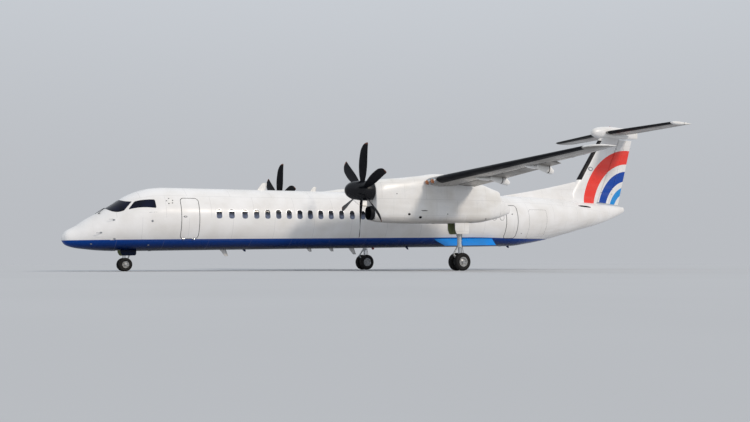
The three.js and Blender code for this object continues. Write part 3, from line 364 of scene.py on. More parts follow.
def loft(bm, rings, front=True, back=True, finish=0):
    """Skin over rings of points: a circle put on the first ring and extruded to each of the others."""
    order = bm.verts.layers.int.get("order") or bm.verts.layers.int.new("order")
    before = set(bm.faces)
    verts = bmesh.ops.create_circle(bm, cap_ends=False, segments=len(rings[0]), radius=1)["verts"]
    for i, vert in enumerate(verts):
        vert[order] = i
    edges = list({edge for vert in verts for edge in vert.link_edges})
    grid = []
    for k, ring in enumerate(rings):
        if k:
            made = bmesh.ops.extrude_edge_only(bm, edges=edges)["geom"]
            edges = [part for part in made if isinstance(part, bmesh.types.BMEdge)]
            verts = verts_in(made)
        row = [None] * len(ring)
        for vert in verts:
            vert.co = ring[vert[order]]
            row[vert[order]] = vert
        grid.append(row)
        if (k == 0 and front) or (k == len(rings) - 1 and back):
            bmesh.ops.contextual_create(bm, geom=edges)
    coat(set(bm.faces) - before, finish)
    return grid


def loop_of(bm, ring):
    """Edges of a closed ring of vertices."""
    return [bm.edges.get((ring[i], ring[i - 1])) for i in range(len(ring))]


def oval_point(section, turn, x):
    """Point of an oval section. Its power is 2 for an ellipse and more for a squarer one."""
    top, bottom, half, power, middle = section
    across, up = (math.copysign(abs(v) ** (2 / power), v) for v in (cos(turn), sin(turn)))
    return Vector((x, middle + half * across, (top + bottom) / 2 + (top - bottom) / 2 * up))


def turn_at(section, side, place):
    """Turn round an oval section at a height on its side, or at a distance across its belly."""
    top, bottom, half, power, middle = section
    share = (place - middle) / half if side == "belly" else (2 * place - top - bottom) / (top - bottom)
    share = math.copysign(min(1, abs(share)) ** (power / 2), share)
    if side == "belly":
        return 2 * pi - math.acos(share)
    return pi - math.asin(share) if side == "port" else 2 * pi + math.asin(share)


def oval(x, section, sides):
    return [oval_point(section, 2 * pi * i / sides, x) for i in range(sides)]


def hull(bm, section, start, end, pitch, sides, marks=(), finish=0):
    loft(bm, [oval(x, section(x), sides) for x in spread(start, end, pitch, marks)], finish=finish)


def rounded(dx, dz, half_x, half_z, corner):
    """Moves a point of a rectangle's grid so that the rectangle gets round corners."""
    out_x, out_z = abs(dx) - half_x + corner, abs(dz) - half_z + corner
    if out_x <= 0 or out_z <= 0:
        return dx, dz
    pull = max(out_x, out_z) / math.hypot(out_x, out_z)
    x, z = half_x - corner + out_x * pull, half_z - corner + out_z * pull
    return math.copysign(x, dx), math.copysign(z, dz)


def corner_lines(low, high, corner):
    steps = [0, 0.3 * corner, 0.65 * corner, corner]
    return [low + s for s in steps] + [high - s for s in steps]


def shell(bm, section, start, end, openings, pitch, sides, back=True):
    """Skin of a hull with lines on the edges of its openings. Returns the faces inside each opening."""
    stations, turns = [], []
    for side, fore, aft, low, high, corner in openings:
        stations += corner_lines(fore, aft, corner)
        middle = section((fore + aft) / 2)
        turns += [turn_at(middle, side, place) for place in corner_lines(low, high, corner)]
    stations = spread(start, end, pitch, stations)
    turns = spread(pi / 2, 2.5 * pi, 2 * pi / sides, turns)[:-1]
    grid = loft(bm, [[oval_point(section(x), turn, x) for turn in turns] for x in stations], back=back)
    bmesh.ops.recalc_face_normals(bm, faces=bm.faces[:])
    inside = []
    for side, fore, aft, low, high, corner in openings:
        centre_x, centre = (fore + aft) / 2, (low + high) / 2
        middle = section(centre_x)
        first, last = sorted(turn_at(middle, side, place) for place in (low, high))
        columns = [i for i, x in enumerate(stations) if fore - 1e-3 < x < aft + 1e-3]
        rows = [j for j, turn in enumerate(turns) if first - 1e-3 < turn < last + 1e-3]
        for i in columns:
            for j in rows:
                point = oval_point(middle, turns[j], 0)
                off = (point.y if side == "belly" else point.z) - centre
                dx, dz = rounded(stations[i] - centre_x, off, (aft - fore) / 2, (high - low) / 2, corner)
                x = centre_x + dx
                here = section(x)
                grid[i][j].co = oval_point(here, turn_at(here, side, centre + dz), x)
        corners = [
            (grid[i][j], grid[i + 1][j], grid[i + 1][j + 1], grid[i][j + 1])
            for i in columns[:-1]
            for j in rows[:-1]
        ]
        inside.append([bm.faces.get(c) for c in corners])
    bm.normal_update()
    return inside


# A band narrower than this is inset evenly
NARROW = 0.009


def inset(bm, faces, width, depth, finish):
    """Insets a region, and gives the band round it a finish."""
    bm.normal_update()
    sizes = {"thickness": width, "depth": depth, "use_even_offset": width < NARROW}
    coat(bmesh.ops.inset_region(bm, faces=faces, **sizes)["faces"], finish)


def window(bm, faces, ring, reveal, glass):
    inset(bm, faces, 0.014, 0, ring)
    inset(bm, faces, 0.006, -0.018, reveal)
    coat(faces, glass)


def groove(bm, faces, finish, width=0.008):
    inset(bm, faces, width, -0.005, finish)
    inset(bm, faces, width, 0.005, finish)


def open_up(bm, faces, depth, finish):
    """Cuts a region out and turns the skin's edge inward by depth."""
    bm.normal_update()
    inward = sum((face.normal for face in faces), Vector()).normalized() * -depth
    region = set(faces)
    edges = {edge for face in faces for edge in face.edges}
    rim = [edge for edge in edges if len(set(edge.link_faces) - region) == 1]
    bmesh.ops.delete(bm, geom=faces, context="FACES_ONLY")
    made = bmesh.ops.extrude_edge_only(bm, edges=rim)["geom"]
    bmesh.ops.translate(bm, vec=inward, verts=verts_in(made))
    coat([part for part in made if isinstance(part, bmesh.types.BMFace)], finish)


def block(bm, corner, opposite, bevel=0.0, finish=0, turn=Matrix.Identity(4)):
    """Box between two opposite corners, with its edges rounded."""
    low, high = (Vector(pick(pair) for pair in zip(corner, opposite)) for pick in (min, max))
    place = turn @ Matrix.Translation((low + high) / 2) @ Matrix.Diagonal((*(high - low), 1))
    verts = bmesh.ops.create_cube(bm, size=1, matrix=place)["verts"]
    coat(faces_at(verts), finish)
    if bevel:
        round_edges(bm, verts, bevel)


def rod(bm, start, end, radius, end_radius=None, sides=24, finish=0):
    """Cylinder or cone between two points."""
    start, end = Vector(start), Vector(end)
    way = end - start
    place = Matrix.Translation((start + end) / 2) @ way.to_track_quat("Z", "Y").to_matrix().to_4x4()
    sizes = {"radius1": radius, "radius2": radius if end_radius is None else end_radius, "depth": way.length}
    verts = bmesh.ops.create_cone(bm, cap_ends=True, segments=sides, matrix=place, **sizes)["verts"]
    coat(faces_at(verts), finish)


def cross_rod(bm, x, half, z, radius, sides=24, finish=0):
    """Rod across the airframe's middle, such as a pin or a trunnion."""
    rod(bm, (x, -half, z), (x, half, z), radius, sides=sides, finish=finish)


def dome(radius, height, steps):
    """Quarter of an oval, from its top to its foot, as (radius, height) points."""
    turns = [pi / 2 * k / steps for k in range(steps + 1)]
    return [(radius * sin(turn), height * cos(turn)) for turn in turns]


def turned(bm, profile, centre=(0, 0, 0), axis=(0, 0, 1), sides=48, finish=0):
    """Solid of revolution from (radius, distance along the axis) points."""
    axis, centre = Vector(axis).normalized(), Vector(centre)
    out = axis.orthogonal().normalized()
    verts = [bm.verts.new(centre + axis * along + out * radius) for radius, along in profile]
    edges = [bm.edges.new(pair) for pair in zip(verts, verts[1:])]
    before = set(bm.faces)
    bmesh.ops.spin(bm, geom=verts + edges, cent=centre, axis=axis, angle=2 * pi, steps=sides, use_merge=True)
    coat(set(bm.faces) - before, finish)


def tube(bm, points, radius, sides=10, finish=0):
    """Round tube through points."""
    points = [Vector(p) for p in points]
    turns = [2 * pi * k / sides for k in range(sides)]
    rings = []
    side = None
    for i, point in enumerate(points):
        way = (points[min(i + 1, len(points) - 1)] - points[max(i - 1, 0)]).normalized()
        side = (way.orthogonal() if side is None else side - way * side.dot(way)).normalized()
        up = way.cross(side)
        rings.append([point + radius * (cos(turn) * side + sin(turn) * up) for turn in turns])
    loft(bm, rings, finish=finish)


def beam(bm, start, end, width, thick, bevel=0.004, finish=0):
    """Flat bar between two points, its width along Y."""
    start, along, side = Vector(start), Vector(end) - Vector(start), Vector((0, 1, 0))
    length = along.length
    along.normalize()
    side = (side - along * side.dot(along)).normalized()
    turn = Matrix.Translation(start) @ Matrix((along, side, along.cross(side))).transposed().to_4x4()
    block(bm, (0, -width / 2, -thick / 2), (length, width / 2, thick / 2), bevel, finish, turn)


def plate(bm, outline, way, bevel=0.003, finish=0):
    """Flat plate from the points of its outline, as thick as way."""
    verts = [bm.verts.new(point) for point in outline]
    moved = verts_in(bmesh.ops.extrude_face_region(bm, geom=[bm.faces.new(verts)])["geom"])
    bmesh.ops.translate(bm, vec=way, verts=moved)
    coat(faces_at(verts + moved), finish)
    round_edges(bm, verts + moved, bevel)


def patch(bm, across, up, place, finish=0, outward=(0, -1, 0)):
    """Sheet facing outward, with grid lines at places of two directions. place turns a pair into a point."""
    columns, rows = len(across) - 1, len(up) - 1
    verts = bmesh.ops.create_grid(bm, x_segments=columns, y_segments=rows, size=1)["verts"]
    for vert in verts:
        vert.co = place(across[round((vert.co.x + 1) / 2 * columns)], up[round((vert.co.y + 1) / 2 * rows)])
    faces = list(faces_at(verts))
    coat(faces, finish)
    bm.normal_update()
    if sum((face.normal for face in faces), Vector()).dot(Vector(outward)) < 0:
        bmesh.ops.reverse_faces(bm, faces=faces)
        bm.normal_update()
    return faces


def walls(bm, low, high, sides, finish, thick=0.006):
    """Thin walls just outside a box. A side is an axis and a direction, such as (2, 1) for the roof."""
    for axis, way in sides:
        a, b = Vector(low), Vector(high)
        a[axis] = low[axis] if way < 0 else high[axis]
        b[axis] = a[axis] + way * thick
        block(bm, a, b, finish=finish)


def spot(bm, centre, normal, length, width, finish, proud=0.003):
    """Low oval boss, lying along the airflow."""
    normal = Vector(normal).normalized()
    along = (Vector((1, 0, 0)) - normal * normal.x).normalized()
    turn = Matrix((along, normal.cross(along), normal)).transposed().to_4x4()
    place = Matrix.Translation(Vector(centre)) @ turn @ Matrix.Diagonal((length / 2, width / 2, 1, 1))
    sizes = {"radius1": 1, "radius2": 0.9, "depth": 2 * proud}
    verts = bmesh.ops.create_cone(bm, cap_ends=True, segments=20, matrix=place, **sizes)["verts"]
    coat(faces_at(verts), finish)


def fin_blade(bm, foot, up, chord, height, rake, thick=0.018, finish=0):
    """Swept blade, as an antenna or a drain mast, standing on the skin."""
    foot, up = Vector(foot), Vector(up).normalized()
    side = up.cross(Vector((1, 0, 0))).normalized()
    rings = []
    for share, size in ((-0.1, 1.08), (0, 1.0), (0.3, 0.86), (0.7, 0.7), (0.93, 0.56), (1, 0.4)):
        middle = foot + up * height * share + Vector((rake * height * share, 0, 0))
        ring = []
        for turn in (2 * pi * k / 16 for k in range(16)):
            off = side * (thick / 2 * size * sin(turn) * (1.0 - 0.35 * cos(turn)))
            ring.append(middle + Vector((cos(turn) * chord / 2 * size, 0, 0)) + off)
        rings.append(ring)
    loft(bm, rings, finish=finish)


def piece(name, bm, body, finishes, replaces=(), place=STANCE, sharp=32, clean=True):
    """Turns a drawn shape into a piece that rides on a body."""
    if clean:
        bmesh.ops.remove_doubles(bm, verts=bm.verts[:], dist=2e-5)
    bmesh.ops.recalc_face_normals(bm, faces=bm.faces[:])
    for face in bm.faces:
        face.smooth = True
    for edge in bm.edges:
        if len(edge.link_faces) == 2 and edge.calc_face_angle() > radians(sharp):
            edge.smooth = False
    bm.transform(place)
    mesh = bpy.data.meshes.new(name)
    bm.to_mesh(mesh)
    bm.free()
    for finish in finishes:
        mesh.materials.append(finish)
    made = bpy.data.objects.new(name, mesh)
    bpy.context.scene.collection.objects.link(made)
    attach(made, body)
    if replaces:
        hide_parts(*replaces)


# Fuselage: top, bottom and half width at stations. Their distances from the nose tip are rooted, to round it.
TIP = -0.06
FUSELAGE = [
    (math.sqrt(x - TIP), top, bottom, half, 2, 0)
    for x, top, bottom, half in (
        (TIP, -0.80, -0.80, 0.0),
        (0, -0.63, -0.955, 0.19),
        (0.09, -0.52, -1.06, 0.33),
        (0.46, -0.31, -1.19, 0.515),
        (0.88, -0.02, -1.25, 0.71),
        (1.41, 0.27, -1.305, 0.915),
        (1.94, 0.60, -1.332, 1.09),
        (2.47, 0.95, -1.342, 1.215),
        (2.99, 1.17, -1.345, 1.295),
        (3.50, 1.295, -1.345, 1.333),
        (4.10, CABIN_RADIUS, -CABIN_RADIUS, CABIN_RADIUS),
        (22.70, CABIN_RADIUS, -CABIN_RADIUS, CABIN_RADIUS),
        (24.00, 1.335, -1.216, 1.265),
        (25.10, 1.30, -1.05, 1.16),
        (26.10, 1.25, -0.845, 1.03),
        (27.10, 1.19, -0.64, 0.89),
        (28.10, 1.12, -0.42, 0.74),
        (29.10, 1.06, -0.215, 0.58),
        (30.10, 0.98, 0.05, 0.415),
        (31.00, 0.90, 0.37, 0.24),
        (31.42, 0.85, 0.54, 0.12),
    )
]
# Joints between its sections, and the gap that keeps two skins apart
FORWARD_END, CABIN_END, AFT_END, TAIL_END = 5.96, 20.6, 25.1, 31.42
GAP = 0.0004


def fuselage(x):
    return faired(FUSELAGE, math.sqrt(max(x - TIP, 0)))


def skin_point(x, turn, lift=0.0):
    """Point on the fuselage, or lifted off it along its normal."""
    here = oval_point(fuselage(x), turn, x)
    along = oval_point(fuselage(x + 0.01), turn, x + 0.01) - here
    around = oval_point(fuselage(x), turn + 0.01, x) - here
    return here + around.cross(along).normalized() * lift


# Openings: side, fore, aft, low, high and corner radius
DOORWAY = ("port", 4.48, 5.28, -0.88, 0.85, 0.16)
HATCH = ("starboard", 4.55, 5.09, -0.52, 0.56, 0.12)
NOSE_BAY = ("belly", 2.05, 2.90, -0.26, 0.26, 0.05)
# Doors that stay shut, each with half the width of its outline
AFT_DOORS = (
    (("port", 21.63, 22.43, -0.96, 0.78, 0.16), 0.018),
    (("starboard", 21.71, 22.35, -0.7, 0.72, 0.14), 0.005),
    (("port", 23.19, 24.50, -0.96, 0.56, 0.14), 0.005),
)
WINDOWS = [6.13, 6.69, 7.29, 7.83, 8.35, 8.87, 9.38, 9.90, 10.42, 10.94, 11.47, 12.01, 12.57, 13.13, 13.64]
WINDOWS += [14.61, 15.22, 15.95, 16.44, 16.93, 17.42, 17.93, 18.41, 18.88, 19.35, 19.83, 20.33]
BLANKED = [20.85, 21.35]
WINDOW_HALF = 0.14
WINDOW_SHAPE = (-0.03, 0.39, 0.115)


def window_openings(stations):
    sides = ("port", "starboard")
    return [(side, x - WINDOW_HALF, x + WINDOW_HALF, *WINDOW_SHAPE) for side in sides for x in stations]


def fuselage_shells():
    finishes = [LIVERY, SEAL, WINDOW_RING, REVEAL, CABIN_GLASS, LINING, PRIMER]
    bm = bmesh.new()
    # The rings crowd towards the tip, where the nose rounds off
    lines = [TIP + (0.02 * i) ** 2 for i in range(1, 53)]
    lines = [TIP + 0.00002, *(x for x in lines if x < RADOME_END - 0.02), RADOME_END - GAP]
    loft(bm, [oval(x, fuselage(x), 72) for x in lines])
    piece("radome_shell", bm, "airframe", [LIVERY], ["radome"])

    bm = bmesh.new()
    openings = [DOORWAY, NOSE_BAY, HATCH]
    doorway, bay, hatch = shell(bm, fuselage, RADOME_END + GAP, FORWARD_END - GAP, openings, 0.1, 96)
    groove(bm, hatch, 1)
    open_up(bm, doorway, 0.09, 1)
    open_up(bm, bay, 0.03, 6)
    piece("forward_shell", bm, "airframe", finishes, ["fuselage_forward"])

    bm = bmesh.new()
    for region in shell(bm, fuselage, FORWARD_END, CABIN_END, window_openings(WINDOWS), 0.3, 72):
        window(bm, region, 2, 3, 4)
    piece("cabin_shell", bm, "airframe", finishes, ["fuselage_cabin"])

    bm = bmesh.new()
    outlines = [(opening, 0.009) for opening in window_openings(BLANKED)] + list(AFT_DOORS)
    openings = [opening for opening, _ in outlines]
    regions = shell(bm, fuselage, CABIN_END + GAP, AFT_END - GAP, openings, 0.22, 84)
    for region, (_, width) in zip(regions, outlines):
        groove(bm, region, 1, width)
    piece("aft_shell", bm, "airframe", finishes, ["fuselage_aft"])

    bm = bmesh.new()
    hull(bm, fuselage, AFT_END, TAIL_END, 0.14, 72)
    piece("tail_cone_shell", bm, "airframe", finishes, ["tail_cone"])


# Wings, their surfaces and the fittings that carry them

# End of the outer panel, and the span that its taper is measured over
WING_END, PANEL_SPAN = 13.65, 9.81
# Rear edge of the fixed skin and its shadowed strip, then the flaps' front edge and their droop
WING_REAR, SHROUD = 15.85, 0.095
FLAP_FRONT, FLAP_DROOP = 15.875, radians(12)


def wing_at(y):
    """Section of the wing: its edges' stations, its height and its thickness."""
    t = max(0, abs(y) - ENGINE_Y) / PANEL_SPAN
    return {"le": 14.30 + 0.96 * t, "te": 16.90 - 0.54 * t, "z": 1.47 + 0.56 * t, "thick": 0.45 - 0.30 * t}


def chord_place(s, share):
    return s["le"] + share * (s["te"] - s["le"])


def share_at(s, x):
    return (x - s["le"]) / (s["te"] - s["le"])


def half_thickness(f):
    """Half thickness of an aerofoil at a share of its chord, as a share of its full thickness."""
    return 5 * (0.2969 * math.sqrt(f) - 0.126 * f - 0.3516 * f**2 + 0.2843 * f**3 - 0.1036 * f**4)


def half_depth(s, x):
    return half_thickness(share_at(s, x)) * s["thick"]


BOOT_SHARE = 0.12
FOIL_SHARES = (0.002, 0.008, 0.02, 0.04, 0.076, BOOT_SHARE, 0.2, 0.28, 0.36, 0.45)
EDGE_HALF = 0.005


def foil_ring(s, end, place, tail=()):
    """Ring of an aerofoil, from its end over the nose and back. place turns (x, offset) into a point."""
    shares = [*FOIL_SHARES, *tail, share_at(s, end)]
    upper = [(chord_place(s, f), half_thickness(f) * s["thick"]) for f in reversed(shares)]
    lower = [(x, -offset) for x, offset in reversed(upper)]
    return [place(x, offset) for x, offset in [*upper, (s["le"], 0), *lower]]


def wing_ring(y):
    s = wing_at(y)
    tail = [share_at(s, WING_REAR - SHROUD)]
    return foil_ring(s, WING_REAR, lambda x, offset: Vector((x, y, s["z"] + offset)), tail)


def over_flaps(p):
    """Shadowed strip ahead of the flaps, where the wing's shroud ends."""
    spanned = 1.38 < abs(p.y) < 3.83 or 5.0 < abs(p.y) < 11.08
    return spanned and p.x > WING_REAR - SHROUD and p.z < wing_at(p.y)["z"] + 0.02


def nose_ring(hinge, radius, te, place, cut=None, edge=EDGE_HALF):
    """Ring of a hinged surface. A cut takes its nose off, beyond a distance behind the hinge."""
    arc = [(radius * cos(radians(a)), radius * sin(radians(a))) for a in range(90, 271, 15)]
    if cut is not None:
        high = radius + (edge - radius) * cut / (te - hinge)
        arc = [(cut, offset * high / radius) for _, offset in arc]
    points = [(hinge + x, offset) for x, offset in arc] + [(te, -edge), (te, edge)]
    return [place(x, offset) for x, offset in points]


# Half the width of a slot that a hinge bracket moves in, of the bracket, and of the pin
SLOT_HALF = 0.014
BRACKET_HALF = 0.008
PIN_HALF = 0.036


def surface(bm, whole, cut, shares):
    """Hinged surface between two end rings, with a slot in its nose for each bracket."""
    length = (whole[1][0] - whole[0][0]).length

    def at(pair, t):
        return [a.lerp(b, t) for a, b in zip(*pair)]

    rings = [whole[0]]
    for share in shares:
        before, after = share - SLOT_HALF / length, share + SLOT_HALF / length
        rings += [at(whole, before), at(cut, before), at(cut, after), at(whole, after)]
    loft(bm, rings + [whole[1]])


def hinge(fixed, moving, at, along, ahead, eye, reach, pin=0.01):
    """Bracket with its eye on the fixed part, and the moving part's pin through it."""
    at, along, ahead = Vector(at), Vector(along).normalized(), Vector(ahead)
    ahead = (ahead - along * ahead.dot(along)).normalized()
    turn = Matrix((ahead, along, ahead.cross(along))).transposed().to_4x4()
    rod(fixed, at - along * BRACKET_HALF, at + along * BRACKET_HALF, eye, sides=20, finish=1)
    low, high = (0, -BRACKET_HALF, -0.55 * eye), (reach, BRACKET_HALF, 0.55 * eye)
    block(fixed, low, high, 0.002, 1, Matrix.Translation(at) @ turn)
    rod(moving, at - along * PIN_HALF, at + along * PIN_HALF, pin, sides=16, finish=1)


def hung(fixed, moving, line, whole, cut, shares, eye, reach):
    """Hinged surface with a bracket and a pin at each share of its hinge line."""
    surface(moving, whole, cut, shares)
    start, end = line
    for share in shares:
        hinge(fixed, moving, start.lerp(end, share), end - start, (-1, 0, 0), eye, reach)


def wick(bm, x, y, z):
    """Static wick behind a trailing edge."""
    rod(bm, (x - 0.03, y, z), (x + 0.14, y, z), 0.004, 0.002, 8, 2)


def flap_pivot(y):
    s = wing_at(y)
    return Vector((16.0, y, s["z"] - 0.38 * s["thick"] - 0.09))


def droop(pivot):
    turn = Matrix.Rotation(FLAP_DROOP, 4, "Y")
    return Matrix.Translation(pivot) @ turn @ Matrix.Translation(-Vector(pivot))


def flap_nose(s):
    return half_depth(s, 15.91) * 0.86


def flap_ring(y):
    s = wing_at(y)
    radius = flap_nose(s)
    lowered = droop(flap_pivot(y))

    def place(x, offset):
        return lowered @ Vector((x, y, s["z"] + offset))

    return nose_ring(FLAP_FRONT + radius, radius, s["te"], place)


def underside(s, x):
    if x <= WING_REAR:
        return s["z"] - half_depth(s, x)
    t = min(1, (x - WING_REAR) / (s["te"] - WING_REAR))
    return s["z"] - (flap_nose(s) * (1 - t) + EDGE_HALF * t)


# Flap track pod: share of its length, depth under the wing, half width
POD = (
    (0, 0.008, 0.006),
    (0.1, 0.075, 0.06),
    (0.36, 0.15, 0.10),
    (0.55, 0.20, 0.115),
    (0.74, 0.26, 0.12),
    (0.87, 0.29, 0.115),
    (0.94, 0.27, 0.095),
    (0.985, 0.20, 0.055),
    (1, 0.13, 0.015),
)
# How far a pod passes the wing, where the slot in its front ends, its band painted matt black as shadow in
# its split, and the tracks' places
POD_REACH = 0.27
POD_SPLIT_END = 16.05
POD_BAND = (16.50, 16.54)
TRACKS = (7.38, 10.33)


def pod_section(y):
    s = wing_at(y)
    fore, aft = chord_place(s, 0.27), s["te"] + POD_REACH

    def section(x):
        depth, half = faired(POD, (x - fore) / (aft - fore))
        under = underside(s, x)
        lift = 0.025 - 0.13 * max(0, x - s["te"]) / POD_REACH
        return (under + lift, under - depth, half, 2.3, y)

    return section, fore, aft


def split_pod(bm, section, start, end, keep):
    """One side of a pod's front, beside the slot for its bracket."""
    rings = []
    for x in spread(start, end, 0.05):
        here = section(x)
        ring = oval(x, here, 24)
        for point in ring:
            point.y = here[4] + keep * max(keep * (point.y - here[4]), SLOT_HALF)
        rings.append(ring)
    loft(bm, rings)


def centre_wing():
    fixed = bmesh.new()
    root = ENGINE_Y - GAP
    loft(fixed, [wing_ring(y) for y in (-root, -3.83, -2.6, -1.38, 0, 1.38, 2.6, 3.83, root)])
    # Painted shadow: the strip ahead of the flaps is matt black
    choose(fixed, 2, over_flaps)
    for name, side in SIDES:
        bm = bmesh.new()
        loft(bm, [flap_ring(side * y) for y in (1.385, 3.823)])
        for y in (1.95, 3.30):
            pivot = flap_pivot(side * y)
            hinge(fixed, bm, pivot, (0, 1, 0), (-0.52, 0, 0.084), 0.034, 0.527, 0.014)
            for from_y in (-0.028, 0.014):
                low, high = Vector((-0.042, from_y, -0.034)), Vector((0.042, from_y + 0.014, 0.12))
                block(bm, pivot + low, pivot + high, 0.003, 1, droop(pivot))
        node = f"flap_inner_{name}"
        piece(f"flap_inner_skin_{name}", bm, node, [WING_GREY, FORGING], [node])
    piece("wing_centre_skin", fixed, "airframe", [WING_GREY, FORGING, DARK], ["wing_centre"])


# Wing tip: reach, how far its leading edge is cut back, share of its thickness
WING_TIP = ((0, 0, 1), (0.25, 0.06, 0.85), (0.48, 0.33, 0.55), (0.56, 0.64, 0.25))
TIP_REACH = 0.56


def tip_ring(side, reach):
    cut, thin = faired(WING_TIP, reach)
    s = wing_at(WING_END + reach)
    s = {**s, "le": s["le"] + cut, "thick": s["thick"] * (thin if reach < TIP_REACH else 0.04)}
    y = side * (WING_END + reach)
    return foil_ring(s, s["te"], lambda x, offset: Vector((x, y, s["z"] + offset)), (0.6, 0.78, 0.92))


def on_wing_boot(p):
    return 5.6 < abs(p.y) < 13.6 and share_at(wing_at(p.y), p.x) < BOOT_SHARE


def wing_panel(side):
    bm = bmesh.new()
    stations = spread(ENGINE_Y + GAP, WING_END, 0.7, (5.0, 5.6, 11.08, 13.6))
    loft(bm, [wing_ring(side * y) for y in stations])
    # Painted shadow: the strip ahead of the flaps is matt black
    choose(bm, 4, over_flaps)
    reaches = (0, 0.08, 0.16, 0.24, 0.32, 0.39, 0.45, 0.5, 0.535, 0.555, TIP_REACH)
    loft(bm, [tip_ring(side, reach) for reach in reaches])
    bmesh.ops.recalc_face_normals(bm, faces=bm.faces[:])
    choose(bm, 2, on_wing_boot)
    tip = [face for face in bm.faces if abs(face.calc_center_median().y) > WING_END + 0.01]
    coat([face for face in tip if face.normal.z > -0.75], 3)
    return bm


def outer_flap(fixed, name, side):
    """Flap with its two pods, whose front halves stay on the wing."""
    bm = bmesh.new()
    inner, outer = 5.01, 11.068
    loft(bm, [flap_ring(side * y) for y in (inner, inner + 0.06, outer)])
    bmesh.ops.recalc_face_normals(bm, faces=bm.faces[:])
    # Painted shade: the flap's inboard end, in the gap beside the nacelle, is matt black
    root = [face for face in bm.faces if abs(face.calc_center_median().y) < inner + 0.06]
    coat([face for face in root if face.normal.z < 0.3], 3)
    along = flap_pivot(side * outer) - flap_pivot(side * inner)
    for y in (side * track for track in TRACKS):
        section, fore, aft = pod_section(y)
        hull(fixed, section, fore, WING_REAR - GAP, 0.09, 24, finish=3)
        pod = bmesh.new()
        for keep in (-1, 1):
            split_pod(pod, section, FLAP_FRONT, POD_SPLIT_END, keep)
        hull(pod, section, POD_SPLIT_END, aft, 0.06, 24, POD_BAND)
        coat(pod.faces, 2)
        choose(pod, 3, lambda p: POD_BAND[0] < p.x < POD_BAND[1])
        pod.transform(droop(flap_pivot(y)))
        drooped = bpy.data.meshes.new("pod")
        pod.to_mesh(drooped)
        pod.free()
        bm.from_mesh(drooped)
        bpy.data.meshes.remove(drooped)
        hinge(fixed, bm, flap_pivot(y), along, (-1, 0, 0), 0.034, 0.23, 0.014)
    finishes = [WING_GREY, FORGING, WHITE_TOP, DARK]
    piece(f"flap_outer_skin_{name}", bm, f"flap_outer_{name}", finishes, [f"flap_outer_{name}"])


def aileron(fixed, name, side):
    bm = bmesh.new()
    line, whole, cut = [], [], []
    for y in (11.092, 13.638):
        s = wing_at(y)
        nose = half_depth(s, 15.89) * 0.9
        at = Vector((15.862 + nose, side * y, s["z"]))

        def place(x, offset, at=at):
            return Vector((x, at.y, at.z + offset))

        line.append(at)
        whole.append(nose_ring(at.x, nose, s["te"], place))
        cut.append(nose_ring(at.x, nose, s["te"], place, 0.034))
    hung(fixed, bm, line, whole, cut, (0.16, 0.84), 0.026, 0.15)
    for share in (0.25, 0.5, 0.75, 0.97):
        y = 11.09 + 2.55 * share
        wick(bm, wing_at(y)["te"], side * y, wing_at(y)["z"])
    finishes = [WING_GREY, FORGING, DARK]
    piece(f"aileron_skin_{name}", bm, f"aileron_{name}", finishes, [f"aileron_{name}"])


def wings():
    centre_wing()
    for name, side in SIDES:
        fixed = wing_panel(side)
        outer_flap(fixed, name, side)
        aileron(fixed, name, side)
        finishes = [WING_GREY, FORGING, BOOT, WHITE_TOP, DARK]
        piece(f"wing_skin_{name}", fixed, "airframe", finishes, [f"wing_{name}"])


# Wing-to-fuselage fairing: x, top, half width, power
FAIRING = (
    (12.7, 1.35, 1.18, 2.0),
    (13.3, 1.5, 1.24, 2.2),
    (14.1, 1.77, 1.29, 2.5),
    (15.0, 1.83, 1.30, 2.6),
    (16.2, 1.79, 1.30, 2.5),
    (17.3, 1.56, 1.26, 2.3),
    (18.35, 1.34, 1.18, 2.0),
)
# Its lower edge on the cabin side: x, height
FAIRING_EDGE = (
    (12.7, 1.05),
    (13.05, 0.66),
    (13.7, 0.59),
    (15.2, 0.52),
    (16.6, 0.462),
    (17.6, 0.47),
    (18.25, 0.58),
    (18.6, 0.86),
    (18.7, 1.05),
)


def fairing():
    """Roof over the wing, down to an edge on the cabin side that rounds off aft."""
    bm = bmesh.new()
    rings = []
    beads = ([], [])
    proud = CABIN_RADIUS + 0.004
    for x in spread(FAIRING_EDGE[0][0], FAIRING_EDGE[-1][0], 0.15, (18.5, 18.6, 18.65)):
        top, half, power = faired(FAIRING, min(x, FAIRING[-1][0]))
        lower = faired(FAIRING_EDGE, x)[0]
        section = (top, -top + 0.9, half, power, 0)
        first = max(0.02, math.asin(min(1, ((lower - 0.45) / (top - 0.45))) ** (power / 2)))
        ring = [oval_point(section, first + (pi - 2 * first) * k / 48, x) for k in range(49)]
        for point in ring:
            hug = math.hypot(point.y, point.z)
            if hug < proud:
                point.yz = point.yz * (proud / hug)
        if x > 13.0:
            for bead, point in zip(beads, (ring[0], ring[-1])):
                bead.append(point.copy())
        ring += [Vector((x, p.y * 0.97, p.z * 0.97)) for p in (ring[-1], ring[0])]
        rings.append(ring)
    loft(bm, rings)
    for bead in beads:
        tube(bm, bead, 0.008, 6, 1)
    piece("wing_fairing_skin", bm, "airframe", [WHITE_SIDE, SEALANT], ["wing_fairing"])


# Nacelles: x, top, bottom, half width, power
NACELLE = (
    (11.85, 1.47, -0.24, 0.43, 2.5),
    (12.25, 1.56, -0.29, 0.50, 3.0),
    (13.20, 1.65, -0.33, 0.55, 3.6),
    (14.15, 1.76, -0.34, 0.565, 4.0),
    (15.00, 1.87, -0.34, 0.565, 4.0),
    (16.20, 1.82, -0.34, 0.565, 4.0),
    (17.30, 1.54, -0.30, 0.54, 3.8),
    (18.54, 1.18, -0.09, 0.40, 3.2),
)
COWL_FRONT, COWL_END, NACELLE_END, NACELLE_TIP = 11.85, 14.15, 18.54, 19.33
# Room that the tapering end leaves round the exhaust pipe
PIPE_ROOM = 0.215


def nacelle_at(x, middle, shrink=0.0):
    top, bottom, half, power = faired(NACELLE, x)
    return (top - shrink, bottom + shrink, half - shrink, power, middle)


